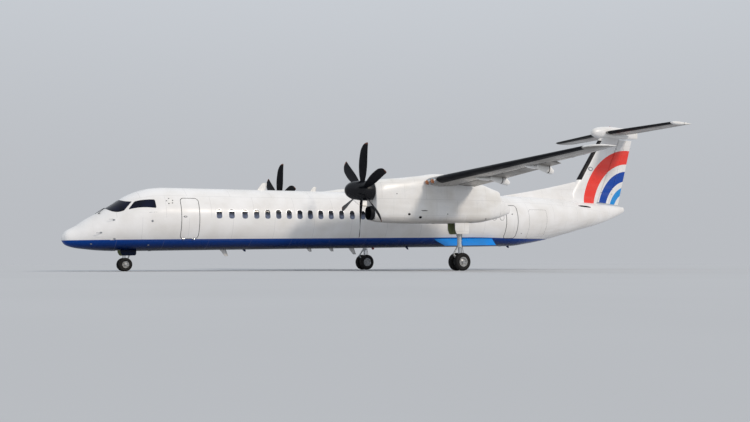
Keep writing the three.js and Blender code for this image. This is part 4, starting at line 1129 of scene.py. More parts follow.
def cowl(name, middle):
    """Cowl with a rolled front edge and the duct of its chin intake."""
    bm = bmesh.new()
    edge = ((COWL_FRONT, 0.03), (11.854, 0.016), (11.866, 0.006), (11.885, 0.001))
    rings = [oval(x, nacelle_at(x, middle, shrink), 72) for x, shrink in edge]
    rings += [oval(x, nacelle_at(x, middle), 72) for x in spread(11.9, COWL_END - GAP, 0.12, (11.98,))]
    front = loft(bm, rings, front=False)[0]
    mouth, throat = (0.355, -0.155, 0.235, 2.3, middle), (0.33, -0.12, 0.21, 2.3, middle)
    rings = [oval(x, mouth, 48) for x in (COWL_FRONT, 11.9, 12.0)] + [oval(12.2, throat, 48)]
    duct = loft(bm, rings, front=False)[0]
    bmesh.ops.triangle_fill(bm, edges=loop_of(bm, front) + loop_of(bm, duct), use_beauty=True)
    # Painted shade: the duct's inside is matt black
    choose(bm, 1, lambda p: 11.851 < p.x < 12.21 and abs(p.y - middle) < 0.237 and -0.1551 < p.z < 0.3551)
    piece(f"cowl_skin_{name}", bm, "airframe", [NACELLE_WHITE, DARK], [f"cowl_{name}"])


# Intake lip: x, and how far it stands outside the duct
INTAKE_LIP = (
    (11.93, 0.0),
    (11.86, 0.0),
    (11.76, 0.003),
    (11.70, 0.010),
    (11.672, 0.020),
    (11.664, 0.030),
    (11.676, 0.040),
    (11.71, 0.046),
    (11.80, 0.05),
    (11.88, 0.052),
    (11.93, 0.05),
    (11.93, 0.0),
)


def intake_lip(name, middle):
    bm = bmesh.new()
    rings = [oval(x, (0.35 + grow, -0.15 - grow, 0.23 + grow, 2.3, middle), 64) for x, grow in INTAKE_LIP]
    loft(bm, rings, False, False)
    piece(f"intake_lip_{name}", bm, "airframe", [BOOT], [f"cowl_{name}"])


def tapered_end(bm, middle):
    """End of the nacelle, hollowed along its top for the exhaust pipe."""
    rings = []
    for x in spread(NACELLE_END + GAP, NACELLE_TIP, 0.06):
        t = (x - NACELLE_END) / (NACELLE_TIP - NACELLE_END)
        near = max(0, (t - 0.9) / 0.1) ** 2
        top, bottom = 1.0 - 0.53 * t - 0.06 * near, -0.09 + 0.24 * t + 0.06 * near
        ring = oval(x, (top, bottom, 0.4 - 0.29 * t - 0.05 * near, 3.2 - 0.8 * t, middle), 72)
        axis = 0.925 - 0.09 * (x - NACELLE_END)
        for point in ring:
            off = abs(point.y - middle)
            if off < PIPE_ROOM:
                point.z = min(point.z, axis - math.sqrt(PIPE_ROOM**2 - off**2))
        rings.append(ring)
    loft(bm, rings)


def wheel_well(bm, middle):
    """Walls, roof and frames of the bay over a main wheel."""
    half, top, fore, aft = 0.3, 0.31, 15.96, 16.78
    for wall in (-half, half):
        block(bm, (fore, middle + wall - 0.004, -top), (aft, middle + wall + 0.004, top), finish=1)
    for x in (fore + 0.006, aft - 0.006):
        block(bm, (x - 0.004, middle - half, -top), (x + 0.004, middle + half, top), finish=1)
    block(bm, (fore, middle - half, top - 0.008), (aft, middle + half, top), finish=1)
    for x in (16.03 + 0.17 * k for k in range(5)):
        low, high = (x - 0.008, middle - half + 0.002, 0.262), (x + 0.008, middle + half - 0.002, 0.302)
        block(bm, low, high, 0.002, 1)


def aft_nacelle(name, middle):
    bm = bmesh.new()
    opening = ("belly", 15.97, 16.77, middle - 0.3, middle + 0.3, 0.04)
    section = partial(nacelle_at, middle=middle)
    region = shell(bm, section, COWL_END, NACELLE_END, [opening], 0.16, 72, back=False)[0]
    open_up(bm, region, 0.03, 1)
    outlet = loft(bm, [oval(NACELLE_END, (1.125, 0.725, 0.2, 2, middle), 48)], False, False)[0]
    edges = [edge for edge in bm.edges if edge.is_boundary]
    rim = [edge for edge in edges if all(abs(vert.co.x - NACELLE_END) < 1e-4 for vert in edge.verts)]
    bmesh.ops.triangle_fill(bm, edges=loop_of(bm, outlet) + rim, use_beauty=True)
    tapered_end(bm, middle)
    wheel_well(bm, middle)
    piece(f"aft_nacelle_skin_{name}", bm, "airframe", [NACELLE_WHITE, PRIMER], [f"nacelle_aft_{name}"])


def exhaust_pipe(name, middle):
    bm = bmesh.new()
    start, end = Vector((17.9, middle, 0.983)), Vector((18.63, middle, 0.917))
    way = (end - start).length
    wall = [(0, 0), (0.182, 0), (0.19, way - 0.02), (0.197, way), (0.19, way + 0.002), (0.18, way - 0.03)]
    turned(bm, wall + [(0.172, 0.2), (0, 0.2)], start, end - start)
    # Painted shade: the pipe's closed end is matt black, for its depth
    choose(bm, 1, lambda p: 18.05 < p.x < 18.15 and math.hypot(p.y - middle, p.z - 0.964) < 0.165)
    piece(f"exhaust_pipe_{name}", bm, "airframe", [EXHAUST, DARK], ())


def nacelles():
    for name, side in SIDES:
        for part in (cowl, intake_lip, aft_nacelle, exhaust_pipe):
            part(name, side * ENGINE_Y)


# Propeller blade: share of the radius, chord, twist, sweep, thickness
BLADE = (
    (0.2, 0.20, 62, 0, 0.075),
    (0.36, 0.32, 50, -0.01, 0.042),
    (0.6, 0.39, 36, -0.02, 0.027),
    (0.8, 0.375, 27, -0.01, 0.018),
    (0.93, 0.285, 22, 0.045, 0.012),
    (0.985, 0.16, 20.5, 0.11, 0.008),
    (1, 0.05, 20, 0.145, 0.004),
)
# Its section: shares of the chord and of the thickness
BLADE_OUTLINE = [(-0.5, 0), (-0.49, 0.13), (-0.45, 0.27), (-0.38, 0.38), (-0.28, 0.46), (-0.15, 0.5)]
BLADE_OUTLINE += [(0, 0.48), (0.15, 0.41), (0.3, 0.29), (0.42, 0.15), (0.5, 0.0), (0.42, -0.06)]
BLADE_OUTLINE += [(0.25, -0.16), (0.05, -0.26), (-0.15, -0.32), (-0.3, -0.32), (-0.4, -0.26), (-0.47, -0.14)]
# Rings at these shares: a rubber boot over the first bands, a nickel strip beyond them, and a painted tip
BLADE_SHARES = (0.2, 0.24, 0.28, 0.32, 0.36, 0.42, 0.48, 0.54, 0.6, 0.66, 0.72, 0.78, 0.83, 0.88, 0.92, 0.95)
BLADE_SHARES += (0.965, 0.985, 0.994, 1.0)
BOOT_RINGS, TIP_RING = 4, 16
BLADE_RADIUS = 2.055
BLADE_TURN = 8.5
PROP_X, PROP_Z = 11.39, 1.06


def blade(bm, turn):
    rings = []
    for share in BLADE_SHARES:
        chord, twist, sweep, thick = faired(BLADE, share)
        a = radians(twist)
        ring = []
        for u, v in BLADE_OUTLINE:
            along, off = u * chord + sweep, v * thick
            x, y = off * cos(a) + along * sin(a), off * sin(a) - along * cos(a)
            ring.append(turn @ Vector((x, y, share * BLADE_RADIUS)))
        rings.append(ring)
    grid = loft(bm, rings)
    for k, ring in enumerate(grid[:-1]):
        for i in range(len(ring)):
            face = bm.faces.get((ring[i], ring[i - 1], grid[k + 1][i - 1], grid[k + 1][i]))
            if k >= TIP_RING:
                face.material_index = 1
            elif k >= BOOT_RINGS and i in (0, 1, 2, 17):
                face.material_index = 2
            elif k < BOOT_RINGS and i in (0, 1, 2, 3, 16, 17):
                face.material_index = 3


def propellers():
    for name, side in SIDES:
        hub = Vector((PROP_X, side * ENGINE_Y, PROP_Z))
        bm = bmesh.new()
        for index in range(6):
            blade(bm, Matrix.Translation(hub) @ Matrix.Rotation(radians(BLADE_TURN + 60 * index), 4, "X"))
        drum = [(0, -0.249), (0.4, -0.249), (0.4, -0.245), (0.419, -0.12), (0.43, 0.02), (0.43, 0.2)]
        drum += [(0.421, 0.4), (0.414, 0.438), (0.402, 0.447), (0, 0.448)]
        turned(bm, drum, hub, (1, 0, 0), 72, 4)
        rod(bm, hub + Vector((0.44, 0, 0)), hub + Vector((0.75, 0, 0)), 0.09, sides=32, finish=5)
        body = f"propeller_{name}"
        finishes = [BLADE_BLACK, TIP_BROWN, NICKEL, BOOT, SPINNER_BLACK, FORGING]
        piece(f"blades_{name}", bm, body, finishes, [body])

        bm = bmesh.new()
        profile = [(radius, -0.252 - rise) for radius, rise in dome(0.4, 0.558, 14)]
        turned(bm, profile + [(0.385, -0.2505), (0, -0.2505)], hub, (1, 0, 0), 72)
        piece(f"spinner_shell_{name}", bm, body, [SPINNER_BLACK], [f"spinner_{name}"])


# Tail

# Gap between a hinged surface's nose and what it hangs on
NOSE_GAP = 0.012
RUDDER_FOOT, RUDDER_HEAD = 1.115, 4.82
RUDDER_SHARES = (0.6, 0.82)
FIN_BOOT = (2.38, 4.72)
FIN_BOOT_SHARE = 0.078


def fin_at(z):
    t = (z - 1.0) / 3.99
    return {"le": 26.8 + 3.02 * t, "te": 31.0 + 1.4 * t, "thick": 0.43 - 0.13 * t}


def on_fin_boot(p):
    return FIN_BOOT[0] < p.z < FIN_BOOT[1] and share_at(fin_at(p.z), p.x) < FIN_BOOT_SHARE


def rudder_ends(share, next_share=None, cut=None):
    """End rings of a rudder hinged at a share of the chord, with the next one's nose let into its back."""
    rings = []
    for z, rake in ((RUDDER_FOOT, 0.09), (RUDDER_HEAD, 0)):
        s = fin_at(z)
        te, edge = s["te"], EDGE_HALF
        if next_share:
            nose = half_thickness(next_share) * s["thick"]
            te, edge = chord_place(s, next_share) - nose - NOSE_GAP, nose * 1.05

        def place(x, offset):
            return Vector((x, offset, z - rake * (x - 29.4)))

        radius = half_thickness(share) * s["thick"]
        rings.append(nose_ring(chord_place(s, share), radius, te, place, cut, edge))
    return rings


def hinge_line(share):
    return [Vector((chord_place(fin_at(z), share), 0, z)) for z in (RUDDER_FOOT, RUDDER_HEAD)]


def rudders():
    fixed, fore, trailing = bmesh.new(), bmesh.new(), bmesh.new()
    first, second = RUDDER_SHARES
    for still, moving, share, next_share, cut, eye in (
        (fixed, fore, first, second, 0.053, 0.045),
        (fore, trailing, second, None, 0.032, 0.024),
    ):
        whole, slotted = rudder_ends(share, next_share), rudder_ends(share, next_share, cut)
        reach = half_thickness(share) * fin_at(RUDDER_FOOT)["thick"] + 0.06
        hung(still, moving, hinge_line(share), whole, slotted, (0.15, 0.85), eye, reach)
    for z in (1.7 + 0.9 * k for k in range(4)):
        wick(trailing, fin_at(z)["te"], 0, z)

    rings = []
    for z in spread(0.95, 4.99, 0.12, FIN_BOOT):
        s = fin_at(z)
        end = chord_place(s, first) - half_thickness(first) * s["thick"] - NOSE_GAP
        flare = max(0, (1.5 - z) / 0.5) ** 2

        def place(x, offset):
            aft = max(0, 1 - (x - s["le"]) / (0.55 * (s["te"] - s["le"])))
            return Vector((x, offset * (1 + 0.9 * flare * aft), z))

        rings.append(foil_ring(s, end, place, (0.5,)))
    loft(fixed, rings)
    choose(fixed, 2, on_fin_boot)
    piece("fin_skin", fixed, "airframe", [TAIL_PAINT, FORGING, BOOT], ["fin"])
    piece("rudder_fore_skin", fore, "rudder_fore", [TAIL_PAINT, FORGING], ["rudder_fore"])
    finishes = [TAIL_PAINT, FORGING, DARK]
    piece("rudder_trailing_skin", trailing, "rudder_trailing", finishes, ["rudder_trailing"])


# Dorsal fin: x, top, half width
DORSAL = ((22.5, 1.355, 0.02), (23.8, 1.55, 0.04), (25.1, 1.76, 0.06), (27.95, 2.30, 0.11))


def dorsal():
    """Ridge that climbs from the cabin roof to the fin."""
    bm = bmesh.new()
    rings = []
    for x in spread(DORSAL[0][0], DORSAL[-1][0], 0.2):
        top, half = faired(DORSAL, x)
        foot = fuselage(x)[0] - 0.12
        ring = []
        for k in range(-12, 13):
            v = abs(k) / 12
            width = half * (0.55 * math.sqrt(1 - (1 - min(1, v / 0.15)) ** 2) + v + 1.2 * v**4)
            ring.append(Vector((x, math.copysign(width, k) if k else 0, top - (top - foot) * v)))
        rings.append(ring)
    loft(bm, rings)
    piece("dorsal_fin_skin", bm, "airframe", [TAIL_PAINT], ["dorsal_fin"])


# Bullet fairing: the stations' distances from its tip are rooted, which rounds its nose
BULLET_TIP = 29.115
BULLET = [
    (math.sqrt(x - BULLET_TIP), top, bottom, half, power, 0)
    for x, top, bottom, half, power in (
        (BULLET_TIP, 5.15, 5.15, 0.0, 2),
        (29.20, 5.32, 5.01, 0.14, 2),
        (29.45, 5.45, 4.91, 0.22, 2),
        (29.90, 5.54, 4.87, 0.265, 2.2),
        (30.50, 5.576, 4.86, 0.275, 2.4),
        (31.30, 5.56, 4.88, 0.235, 2.4),
        (32.20, 5.52, 4.92, 0.14, 2.4),
        (32.83, 5.49, 4.96, 0.045, 2.4),
    )
]
TAIL_Z = 5.18
TAIL_TIP = 4.635
ELEVATOR_SHARE = 0.66
# Thickness shares that round the tailplane's tips
TAIL_CAPS = {4.56: 1, 4.6: 0.92, 4.625: 0.7, TAIL_TIP: 0.3}


def tail_at(y):
    t = abs(y) / TAIL_TIP
    return {"le": 29.95 + 0.58 * t, "te": 32.05, "thick": 0.27 - 0.10 * t}


def on_tail_boot(p):
    return 0.42 < abs(p.y) < 4.5 and share_at(tail_at(p.y), p.x) < BOOT_SHARE


def elevator(fixed, name, side):
    bm = bmesh.new()
    line, whole, cut = [], [], []
    for y in (0.33, TAIL_TIP):
        s = tail_at(y)
        at, nose = chord_place(s, ELEVATOR_SHARE), half_thickness(ELEVATOR_SHARE) * s["thick"]

        def place(x, offset):
            return Vector((x, side * y, TAIL_Z + offset))

        line.append(place(at, 0))
        whole.append(nose_ring(at, nose, s["te"], place))
        cut.append(nose_ring(at, nose, s["te"], place, 0.034))
    hung(fixed, bm, line, whole, cut, (0.14, 0.8), 0.026, 0.15)
    choose(bm, 3, lambda p: abs(p.y) > 4.63)
    for y in (1.5, 2.5, 3.5, 4.4):
        wick(bm, tail_at(y)["te"], side * y, TAIL_Z)
    finishes = [WING_GREY, FORGING, DARK, WHITE_TOP]
    piece(f"elevator_skin_{name}", bm, f"elevator_{name}", finishes, [f"elevator_{name}"])


def tailplane():
    bm = bmesh.new()
    tip = [BULLET_TIP + off for off in (0.0001, 0.005, 0.015, 0.035, 0.065, 0.105, 0.165, 0.245)]
    stations = tip + spread(29.45, 32.83, 0.15)
    loft(bm, [oval(x, faired(BULLET, math.sqrt(x - BULLET_TIP)), 56) for x in stations])
    piece("bullet_skin", bm, "airframe", [WHITE_SIDE], ["bullet_fairing"])

    fixed = bmesh.new()
    rings = []
    ends = list(TAIL_CAPS)
    for y in [*(-y for y in reversed(ends)), *spread(-4.5, 4.5, 0.5, (-0.42, 0.42)), *ends]:
        s = tail_at(y)
        end = chord_place(s, ELEVATOR_SHARE) - half_thickness(ELEVATOR_SHARE) * s["thick"] - NOSE_GAP
        s["thick"] *= TAIL_CAPS.get(abs(y), 1)
        rings.append(foil_ring(s, end, lambda x, offset: Vector((x, y, TAIL_Z + offset)), (0.52,)))
    loft(fixed, rings)
    choose(fixed, 2, on_tail_boot)
    choose(fixed, 3, lambda p: abs(p.y) > 4.5)
    for name, side in SIDES:
        elevator(fixed, name, side)
    finishes = [WING_GREY, FORGING, BOOT, WHITE_TOP]
    piece("tailplane_skin", fixed, "airframe", finishes, ["tailplane"])


# Strake: distance along its lean, half thickness
STRAKE = ((-0.07, 0.03), (0.1, 0.03), (0.3, 0.024), (0.385, 0.016), (0.405, 0.009), (0.41, 0.002))
STRAKE_LEAN = radians(56)


def strakes():
    """Ventral strakes under the aft cabin, leaning outward: painted sunlight makes them azure outside,
    painted shade deep blue inside.
    """
    across, down = cos(STRAKE_LEAN), sin(STRAKE_LEAN)
    for name, side in SIDES:
        bm = bmesh.new()
        rings = []
        for reach, half in STRAKE:
            t = max(0, reach / STRAKE[-1][0])
            fore, aft = 17.3 + 0.55 * t, 20.97 + 0.07 * t
            ring = []
            for a in (2 * pi * k / 40 for k in range(40)):
                x = (fore + aft) / 2 + (aft - fore) / 2 * math.copysign(abs(cos(a)) ** 0.7, cos(a))
                n = half * math.copysign(abs(sin(a)) ** 0.5, sin(a))
                y = 0.95 + reach * across + n * down
                ring.append(Vector((x, side * y, -0.96 - reach * down + n * across)))
            rings.append(ring)
        loft(bm, rings)
        bmesh.ops.recalc_face_normals(bm, faces=bm.faces[:])
        # Outward faces take the azure of painted sunlight, the rest the navy of painted shade
        coat([face for face in bm.faces if face.normal.y * side > 0], 1)
        piece(f"strake_skin_{name}", bm, "airframe", [NAVY, SUNLIT_AZURE], [f"strake_{name}"])


# Flight deck windows

def on_side(x, z):
    """Station and turn of a point at a height on the port side."""
    return Vector((x, turn_at(fuselage(x), "port", z)))


def on_roof(x, y):
    """Station and turn of a point on the roof, at a distance to port of the centreline."""
    return Vector((x, pi / 2 + math.asin(y / fuselage(x)[2])))


def over_skin(place, side, lift=0.0):
    """Point above the skin at a station and turn that are given for the port side."""
    x, turn = place
    return skin_point(x, turn if side < 0 else pi - turn, lift)


# Each pane's lower edge, upper edge and size
PANES = (
    (
        (on_roof(1.64, 0.06), on_roof(1.80, 0.70), on_side(2.22, 0.30)),
        (on_roof(2.20, 0.06), on_roof(2.29, 0.56), on_side(2.56, 0.68)),
        (1.2, 0.6),
    ),
    (
        (on_side(2.37, 0.335), on_side(2.89, 0.425), on_side(3.46, 0.395)),
        (on_side(2.65, 0.675), on_side(3.06, 0.75), on_side(3.44, 0.755)),
        (0.95, 0.38),
    ),
)
PANE_CORNER = 0.05
# A wiper's pivot and the ends of its two arms: x, and distance from the centreline
WIPER = Vector((1.36, 0.30))
WIPER_ARMS = (Vector((1.66, 0.10)), Vector((1.40, 0.42)))


def through(points, s):
    """Point of the curve through three points."""
    a, b, c = points
    bend = 2 * b - (a + c) / 2
    return (1 - s) ** 2 * a + 2 * s * (1 - s) * bend + s**2 * c


def pane(bm, side, low, high, size):
    """Glass pane with its rubber edge and a bead of sealant, turned down to the skin all round."""
    wide, tall = size

    def place(across, up):
        dx, dz = rounded(across - wide / 2, up - tall / 2, wide / 2, tall / 2, PANE_CORNER)
        s, r = dx / wide + 0.5, dz / tall + 0.5
        return over_skin(through(low, s).lerp(through(high, s), r), side, 0.009)

    across = spread(0, wide, 0.07, corner_lines(0, wide, PANE_CORNER))
    up = spread(0, tall, 0.07, corner_lines(0, tall, PANE_CORNER))
    faces = patch(bm, across, up, place, outward=(-0.4, 0.8 * side, 0.5))
    rim = list({edge for face in faces for edge in face.edges if edge.is_boundary})
    inset(bm, faces, 0.026, 0, 0)
    inset(bm, faces, 0.010, -0.0035, 1)
    coat(faces, 2)
    made = bmesh.ops.extrude_edge_only(bm, edges=rim)["geom"]
    bm.normal_update()
    for vert in verts_in(made):
        vert.co -= Vector((0, vert.co.y, vert.co.z + 0.15)).normalized() * 0.016


def flight_deck_windows():
    for name, side in SIDES:
        bm = bmesh.new()
        for low, high, size in PANES:
            pane(bm, side, low, high, size)
        for end in WIPER_ARMS:
            way = [on_roof(*WIPER.lerp(end, k / 6)) for k in range(7)]
            tube(bm, [over_skin(place, side, 0.03) for place in way], 0.009, 8, 1)
        foot = over_skin(on_roof(*WIPER), side)
        rod(bm, foot, foot + Vector((-0.012, 0, 0.035)), 0.022, 0.018, 12, 1)
        finishes = [SEALANT, RUBBER, DECK_GLASS]
        piece(f"flight_deck_panes_{name}", bm, "airframe", finishes, (), clean=False)


# Airstair door and the bays

SILL = Vector((0, -1.04, -0.872))
KNUCKLES = (4.66, 5.10)
# Gap round the door, its panel's thickness, and the radius of its inner side
DOOR_GAP, DOOR_THICK, DOOR_INSIDE = 0.012, 0.086, 1.255
# Angle at which the treads lie level once the door is down, and the radius of their roots
TREAD_LEAN, TREAD_ROOT = radians(38), 1.29


def sill_rod(bm, start, end, radius, sides, finish):
    """Rod along the door's hinge line."""
    rod(bm, SILL + Vector((start, 0, 0)), SILL + Vector((end, 0, 0)), radius, sides=sides, finish=finish)


def door_panel(bm):
    """Curved panel, notched over the fixed knuckles."""
    _, fore, aft, low, high, corner = DOORWAY
    fore, aft, corner = fore + DOOR_GAP, aft - DOOR_GAP, corner - DOOR_GAP
    low, high = low + DOOR_GAP, high - DOOR_GAP
    middle_x, middle_z = (fore + aft) / 2, (low + high) / 2
    notches = [knuckle + offset for knuckle in KNUCKLES for offset in (-0.0395, -0.0365, 0.0365, 0.0395)]
    across = spread(fore, aft, 0.06, corner_lines(fore, aft, corner) + notches)
    up = spread(low, high, 0.06, corner_lines(low, high, corner))

    def place(x, z):
        dx, dz = rounded(x - middle_x, z - middle_z, (aft - fore) / 2, (high - low) / 2, corner)
        x, z = middle_x + dx, middle_z + dz
        if min(abs(x - knuckle) for knuckle in KNUCKLES) < 0.037:
            z = max(z, low + 0.026)
        return Vector((x, -math.sqrt(CABIN_RADIUS**2 - z**2), z))

    made = bmesh.ops.extrude_face_region(bm, geom=patch(bm, across, up, place))["geom"]
    for vert in verts_in(made):
        vert.co.yz = vert.co.yz * (1 - DOOR_THICK / CABIN_RADIUS)
    choose(bm, 2, lambda p: p.yz.length <= CABIN_RADIUS - 0.006)
    choose(bm, 1, lambda p: p.yz.length < CABIN_RADIUS - 0.08)
    inset(bm, [face for face in bm.faces if face.material_index == 0], 0.014, 0, 2)


def tread(bm, z):
    """Step on the door's inner side with four grip strips."""
    inner = -math.sqrt(DOOR_INSIDE**2 - z**2)
    tip = Vector((0, inner + 0.17, z - 0.012))
    slope = Vector((0, -sin(TREAD_LEAN), -cos(TREAD_LEAN)))
    away = tip.dot(slope)
    root = tip + slope * (math.sqrt(away**2 + TREAD_ROOT**2 - tip.length_squared) - away)
    section = [root, tip, Vector((0, tip.y, z + 0.018)), Vector((0, inner - 0.02, z + 0.018))]
    plate(bm, [point + Vector((4.60, 0, 0)) for point in section], (0.56, 0, 0), 0.004, 3)
    facing = Vector((0, cos(TREAD_LEAN), -sin(TREAD_LEAN)))
    turn = Matrix((Vector((1, 0, 0)), -slope, facing)).transposed().to_4x4()
    for k in range(4):
        from_root = (tip - root).length * (0.25 + 0.18 * k)
        strip = Matrix.Translation(root + Vector((4.62, 0, 0)) - slope * from_root) @ turn
        block(bm, (0, -0.012, -0.002), (0.52, 0.012, 0.003), 0.001, 4, strip)


def handrail(bm, x):
    way = [(-0.66, DOOR_INSIDE), (-0.64, 1.21), (-0.60, 1.185)]
    way += [(-0.5 + 0.1 * k, 1.18) for k in range(11)]
    way += [(0.60, 1.185), (0.64, 1.21), (0.66, DOOR_INSIDE)]
    tube(bm, [(x, -reach * cos(a), reach * sin(a)) for a, reach in way], 0.013, 12, 5)


def airstair():
    bm = bmesh.new()
    door_panel(bm)
    for z in (-0.55, -0.22, 0.11, 0.44):
        tread(bm, z)
    for x in (4.56, 5.20):
        handrail(bm, x)
    for knuckle in KNUCKLES:
        for start, end in ((knuckle - 0.061, knuckle - 0.036), (knuckle + 0.036, knuckle + 0.061)):
            sill_rod(bm, start, end, 0.016, 20, 5)
            block(bm, (start, -1.046, -0.872), (end, -0.99, -0.832), 0.003, 5)
        sill_rod(bm, knuckle - 0.038, knuckle + 0.038, 0.008, 16, 5)
    handle = Vector((4.60, -math.sqrt(CABIN_RADIUS**2 - 0.05**2), 0.05))
    spot(bm, handle + Vector((0.05, 0, 0)), (0, -1, 0.03), 0.17, 0.07, 4, 0.002)
    block(bm, handle + Vector((-0.02, -0.006, -0.012)), handle + Vector((0.12, 0.004, 0.012)), 0.003, 5)
    finishes = [LIVERY, LINING, SEAL, FORGING, RUBBER, CHROME]
    piece("airstair_panel", bm, "airstair_door", finishes, ["airstair_door"])


# Entrance behind the airstair, and the radius at which its walls meet the skin
ENTRY_FORE, ENTRY_AFT, ENTRY_FLOOR, ENTRY_ROOF = 4.47, 5.29, -0.88, 0.85
ENTRY_PARTITION, ENTRY_RADIUS = 0.206, 1.27


def vestibule():
    """Entrance behind the airstair: sill, walls, roof and a partition, and the door's fixed knuckles."""
    bm = bmesh.new()
    heights = spread(ENTRY_FLOOR, ENTRY_ROOF, 0.1)
    for x, inward in ((ENTRY_FORE + 0.006, 1), (ENTRY_AFT - 0.006, -1)):

        def place(share, z):
            port = -math.sqrt(ENTRY_RADIUS**2 - z**2)
            return Vector((x, port + (0.2 - port) * share, z))

        faces = patch(bm, [0, 0.25, 0.5, 0.75, 1], heights, place, 0, (inward, 0, 0))
        bmesh.ops.solidify(bm, geom=faces, thickness=0.006)
    corner = (ENTRY_AFT, ENTRY_PARTITION, ENTRY_ROOF)
    walls(bm, (ENTRY_FORE, -0.98, ENTRY_FLOOR), corner, [(2, -1)], 1, 0.01)
    walls(bm, (ENTRY_FORE, -0.92, ENTRY_FLOOR), corner, [(2, 1), (1, 1)], 0, 0.01)
    block(bm, (4.50, -1.005, -0.879), (5.26, -0.93, -0.872), 0.002, 2)
    block(bm, (4.62, 0.18, -0.80), (5.14, 0.199, 0.72), 0.006, 0)
    for x in (4.62, 5.14):
        block(bm, (x - 0.012, 0.172, -0.84), (x + 0.012, 0.199, 0.76), 0.003, 2)
    tube(bm, [(4.52, 0.05, z) for z in (-0.3, -0.1, 0.1, 0.3)], 0.014, 12, 3)
    for knuckle in KNUCKLES:
        sill_rod(bm, knuckle - 0.03, knuckle + 0.03, 0.016, 20, 3)
        block(bm, (knuckle - 0.03, -1.048, -0.912), (knuckle + 0.03, -0.97, -0.877), 0.003, 3)
    piece("vestibule_lining", bm, "airframe", [LINING, CARPET, FORGING, CHROME], ["fuselage_forward"])


def nose_bay():
    bm = bmesh.new()
    walls(bm, (2.05, -0.26, -1.30), (2.90, 0.26, -0.70), [(0, -1), (0, 1), (1, -1), (1, 1), (2, 1)], 0)
    for x in (2.16, 2.36, 2.56, 2.76):
        block(bm, (x, -0.259, -0.74), (x + 0.015, 0.259, -0.70), 0.002)
    tube(bm, [(2.1 + 0.1 * k, 0.22, -0.78 - 0.01 * (k % 2)) for k in range(8)], 0.009, 8, 1)
    piece("nose_bay_lining", bm, "airframe", [PRIMER, RUBBER], ["fuselage_forward"])


# Landing gear, drawn about each axle and stood upright

def axle_place(x, y, radius):
    """Place of an axle whose wheels touch the ground."""
    z = (radius - CABIN_HEIGHT - x * sin(NOSE_DOWN)) / cos(NOSE_DOWN)
    return Matrix.Translation(STANCE @ Vector((x, y, z)))


# Tyre's radius and width, wheel's radius, openings in its disc
MAIN_WHEEL, NOSE_WHEEL = (0.406, 0.224, 0.205, 9), (0.28, 0.165, 0.13, 7)
MAIN_SPACING, NOSE_SPACING = 0.23, 0.175
# Axle's half length and radius
MAIN_AXLE, NOSE_AXLE = (0.335, 0.045), (0.25, 0.036)


def tyre(node, body, place, y, wheel):
    """Aircraft tyre: smooth sidewalls and a crown with straight grooves."""
    radius, width, rim, _ = wheel
    side = [(rim, 0.72), (rim + 0.1 * (radius - rim), 0.80), (radius * 0.72, 0.97), (radius * 0.8, 1.0)]
    side += [(radius * 0.87, 0.955), (radius * 0.93, 0.86), (radius * 0.968, 0.74), (radius * 0.984, 0.64)]
    crown = []
    for middle in (0.44, 0.15, -0.15, -0.44):
        for step, drop in ((0.045, 0), (0.03, 0.018), (-0.03, 0.018), (-0.045, 0)):
            u = middle + step
            crown.append((radius * (1 - 0.03 * u * u - drop), u))
        if middle == 0.15:
            crown.append((radius, 0))
    outline = side + crown + [(r, -w) for r, w in reversed(side)] + [side[0]]
    bm = bmesh.new()
    turned(bm, [(r, w * width / 2) for r, w in outline], (0, y, 0), (0, 1, 0), 72)
    piece(f"{node}_skin", bm, body, [TYRE], [node], place, 24)


# Section of a forged wheel: shares of its radius and of its half width
WHEEL_SECTION = [(0, -0.3), (0.45, -0.3), (0.55, -0.7), (0.95, -0.95), (1.05, -1), (1.05, -0.93)]
WHEEL_SECTION += [(0.997, -0.9), (0.997, 0.9), (1.05, 0.93), (1.05, 1), (0.96, 0.99), (0.9, 0.82)]
WHEEL_SECTION += [(0.86, 0.72), (0.62, 0.38), (0.46, 0.42), (0.41, 0.5), (0.38, 0.78), (0.31, 0.84)]
WHEEL_SECTION += [(0.29, 1.0), (0.12, 1.04), (0, 1.04)]
# Its openings over the brake, drawn as matt black plugs of painted shade, and bolts round the hub: reach,
# start and end of the depth, radius, sides
OPENING, BOLT = (0.755, 0.4, 0.595, 0.085, 16), (0.54, 0.3, 0.47, 0.05, 6)


def forged_wheel(bm, y, out, wheel):
    """Dished disc with bolts round its hub, and matt black plugs as painted shade where the openings over the
    brake are. out is the outer side.
    """
    _, width, rim, holes = wheel
    half = width * 0.42 * out
    turned(bm, [(r * rim, a * half) for r, a in WHEEL_SECTION], (0, y, 0), (0, 1, 0), 72)
    for k in range(2 * holes):
        reach, start, end, radius, sides = BOLT if k % 2 else OPENING
        x, z = reach * rim * cos(pi * k / holes), reach * rim * sin(pi * k / holes)
        rod(bm, (x, y + start * half, z), (x, y + end * half, z), radius * rim, sides=sides, finish=1 + k % 2)


def wheel_pair(name, node, body, place, axle, spacing, wheel):
    half, radius = axle
    bm = bmesh.new()
    cross_rod(bm, 0, half, 0, radius, 32, 2)
    for way in (-1, 1):
        forged_wheel(bm, way * spacing, way, wheel)
    piece(name, bm, body, [RIM, DARK, FORGING], [node], place)


def door_leaf(bm, corners, wall, out):
    """Leaf of a gear door, primed inside. Returns its inner side."""
    plate(bm, [(x, wall - 0.011, z) for x, z in corners], (0, 0.022, 0), 0.005)
    choose(bm, 1, lambda p: p.y * out < wall * out - 0.009)
    return wall - out * 0.011


MAIN_DOOR = [(15.985, -0.2), (16.755, -0.2), (16.755, -0.62), (16.74, -0.74), (16.705, -0.82)]
MAIN_DOOR += [(16.095, -0.82), (16.04, -0.76), (15.985, -0.60)]
NOSE_DOOR = [(2.23, -1.23), (2.885, -1.23), (2.885, -1.44), (2.865, -1.50), (2.835, -1.53)]
NOSE_DOOR += [(2.34, -1.53), (2.28, -1.48), (2.23, -1.38)]

